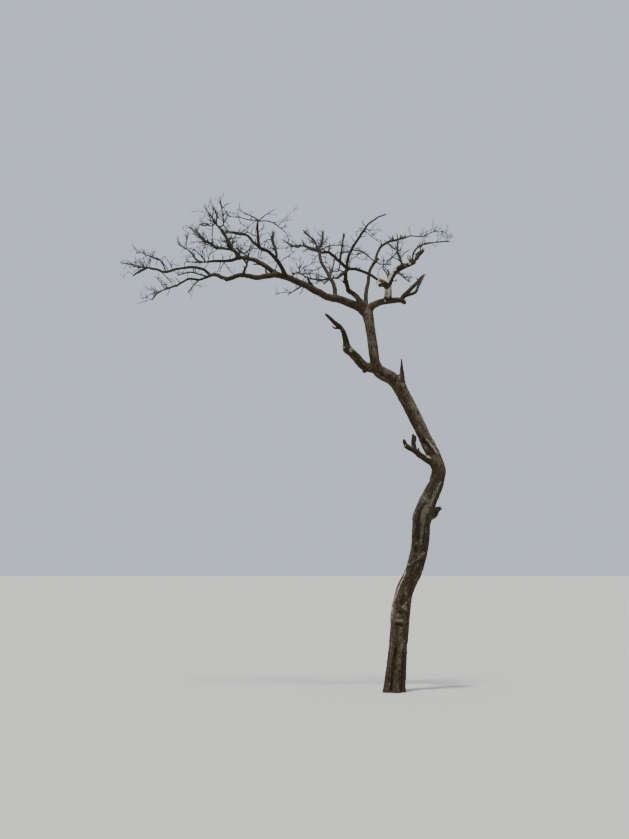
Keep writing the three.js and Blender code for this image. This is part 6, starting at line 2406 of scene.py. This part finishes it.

# %% [markdown]
# ## Hand the pieces to the frame
# Every piece rides on the tree's one body and hides the solids that it stands for. The solids stay for
# collision; only the dressed pieces show.

# %% Ride, and what each piece replaces
STANDS_FOR = dict(
    trunk_foot_bark=("trunk",),
    trunk_middle_bark=(
        "trunk", "left_stub", "left_stub_horn", "left_stub_spike", "right_stub",
    ),
    trunk_fork_bark=(
        "trunk", "dead_limb_lower", "dead_limb_upper", "shoulder_spike", "left_bough", "right_bough",
        "middle_bough", "centre_bough",
    ),
    left_bough_bark=("left_bough", "rising_bough"),
    left_crown_bark=(
        "left_bough", "left_lower_bough", "left_tip_bough", "left_upper_bough", "left_crown_bough",
        "perch_bough", "perch_stem", "perch_left_bough", "front_bough", "back_bough",
    ),
    middle_bough_bark=(
        "middle_bough", "middle_top_bough", "middle_left_bough", "middle_right_bough", "rising_bough",
        "rising_top_bough",
    ),
    right_bough_bark=(
        "centre_bough", "centre_top_bough", "right_bough", "right_upright_bough", "right_pale_stub",
        "right_top_stub", "right_low_bough", "right_low_fork",
    ),
)
for name, skin_piece in SKINS.items():
    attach(skin_piece, ROOT)
    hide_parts(*STANDS_FOR[name])
for name, mesh in pieces.items():
    mesh.polygons.foreach_set("use_smooth", np.full(len(mesh.polygons), name != "torn_wood"))
    piece = show(name, mesh)
    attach(piece, ROOT)
    region = next((region for region in REGIONS if name.startswith(region + "_")), None)
    if region:
        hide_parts(*REGIONS[region])

# %% [markdown]
# ## Camera, light and floor
# The camera stands where the photograph was taken from: low, twenty-six metres off, tilted up so that the
# horizon falls below the middle. A soft high sun and a pale sky light it, over a plain pale floor.

# %% The photograph's camera
camera_data = bpy.data.cameras.new("photo camera")
camera_data.lens = LENS
camera_data.sensor_width = SENSOR
camera_data.clip_end = 2000
camera = bpy.data.objects.new("photo camera", camera_data)
camera.location = CAMERA_PLACE
camera.rotation_euler = (math.radians(90) + CAMERA_TILT, 0, 0)
bpy.context.scene.collection.objects.link(camera)
bpy.context.scene.camera = camera

# %% Soft sun, pale sky and a plain floor
SUN_FROM = (-0.14, -0.30, 0.94)
SUN_POWER, SUN_WIDTH = 3.4, 7
SUN_COLOUR = (1.0, 0.96, 0.90)
SKY_COLOUR, SKY_POWER = (0.72, 0.80, 0.90, 1), 0.85
FLOOR_HALF = 600
FLOOR_COLOUR = (0.55, 0.54, 0.51)
sun_data = bpy.data.lights.new("sun", "SUN")
sun_data.energy = SUN_POWER
sun_data.angle = math.radians(SUN_WIDTH)
sun_data.color = SUN_COLOUR
sun = bpy.data.objects.new("sun", sun_data)
sun.rotation_euler = Vector(SUN_FROM).to_track_quat("Z", "Y").to_euler()
bpy.context.scene.collection.objects.link(sun)
world = bpy.data.worlds.new("pale sky")
bpy.context.scene.world = world
world.use_nodes = True
sky_light = world.node_tree.nodes["Background"]
sky_light.inputs["Color"].default_value = SKY_COLOUR
sky_light.inputs["Strength"].default_value = SKY_POWER

floor_mesh = bpy.data.meshes.new("floor")
corners = [(x * FLOOR_HALF, y * FLOOR_HALF, 0) for x, y in ((-1, -1), (1, -1), (1, 1), (-1, 1))]
floor_mesh.from_pydata(corners, [], [(0, 1, 2, 3)])
floor = show("floor", floor_mesh)
plain = Finish("plain floor")
plain.dress(FLOOR_COLOUR, 0.95)
floor_mesh.materials.append(plain.material)
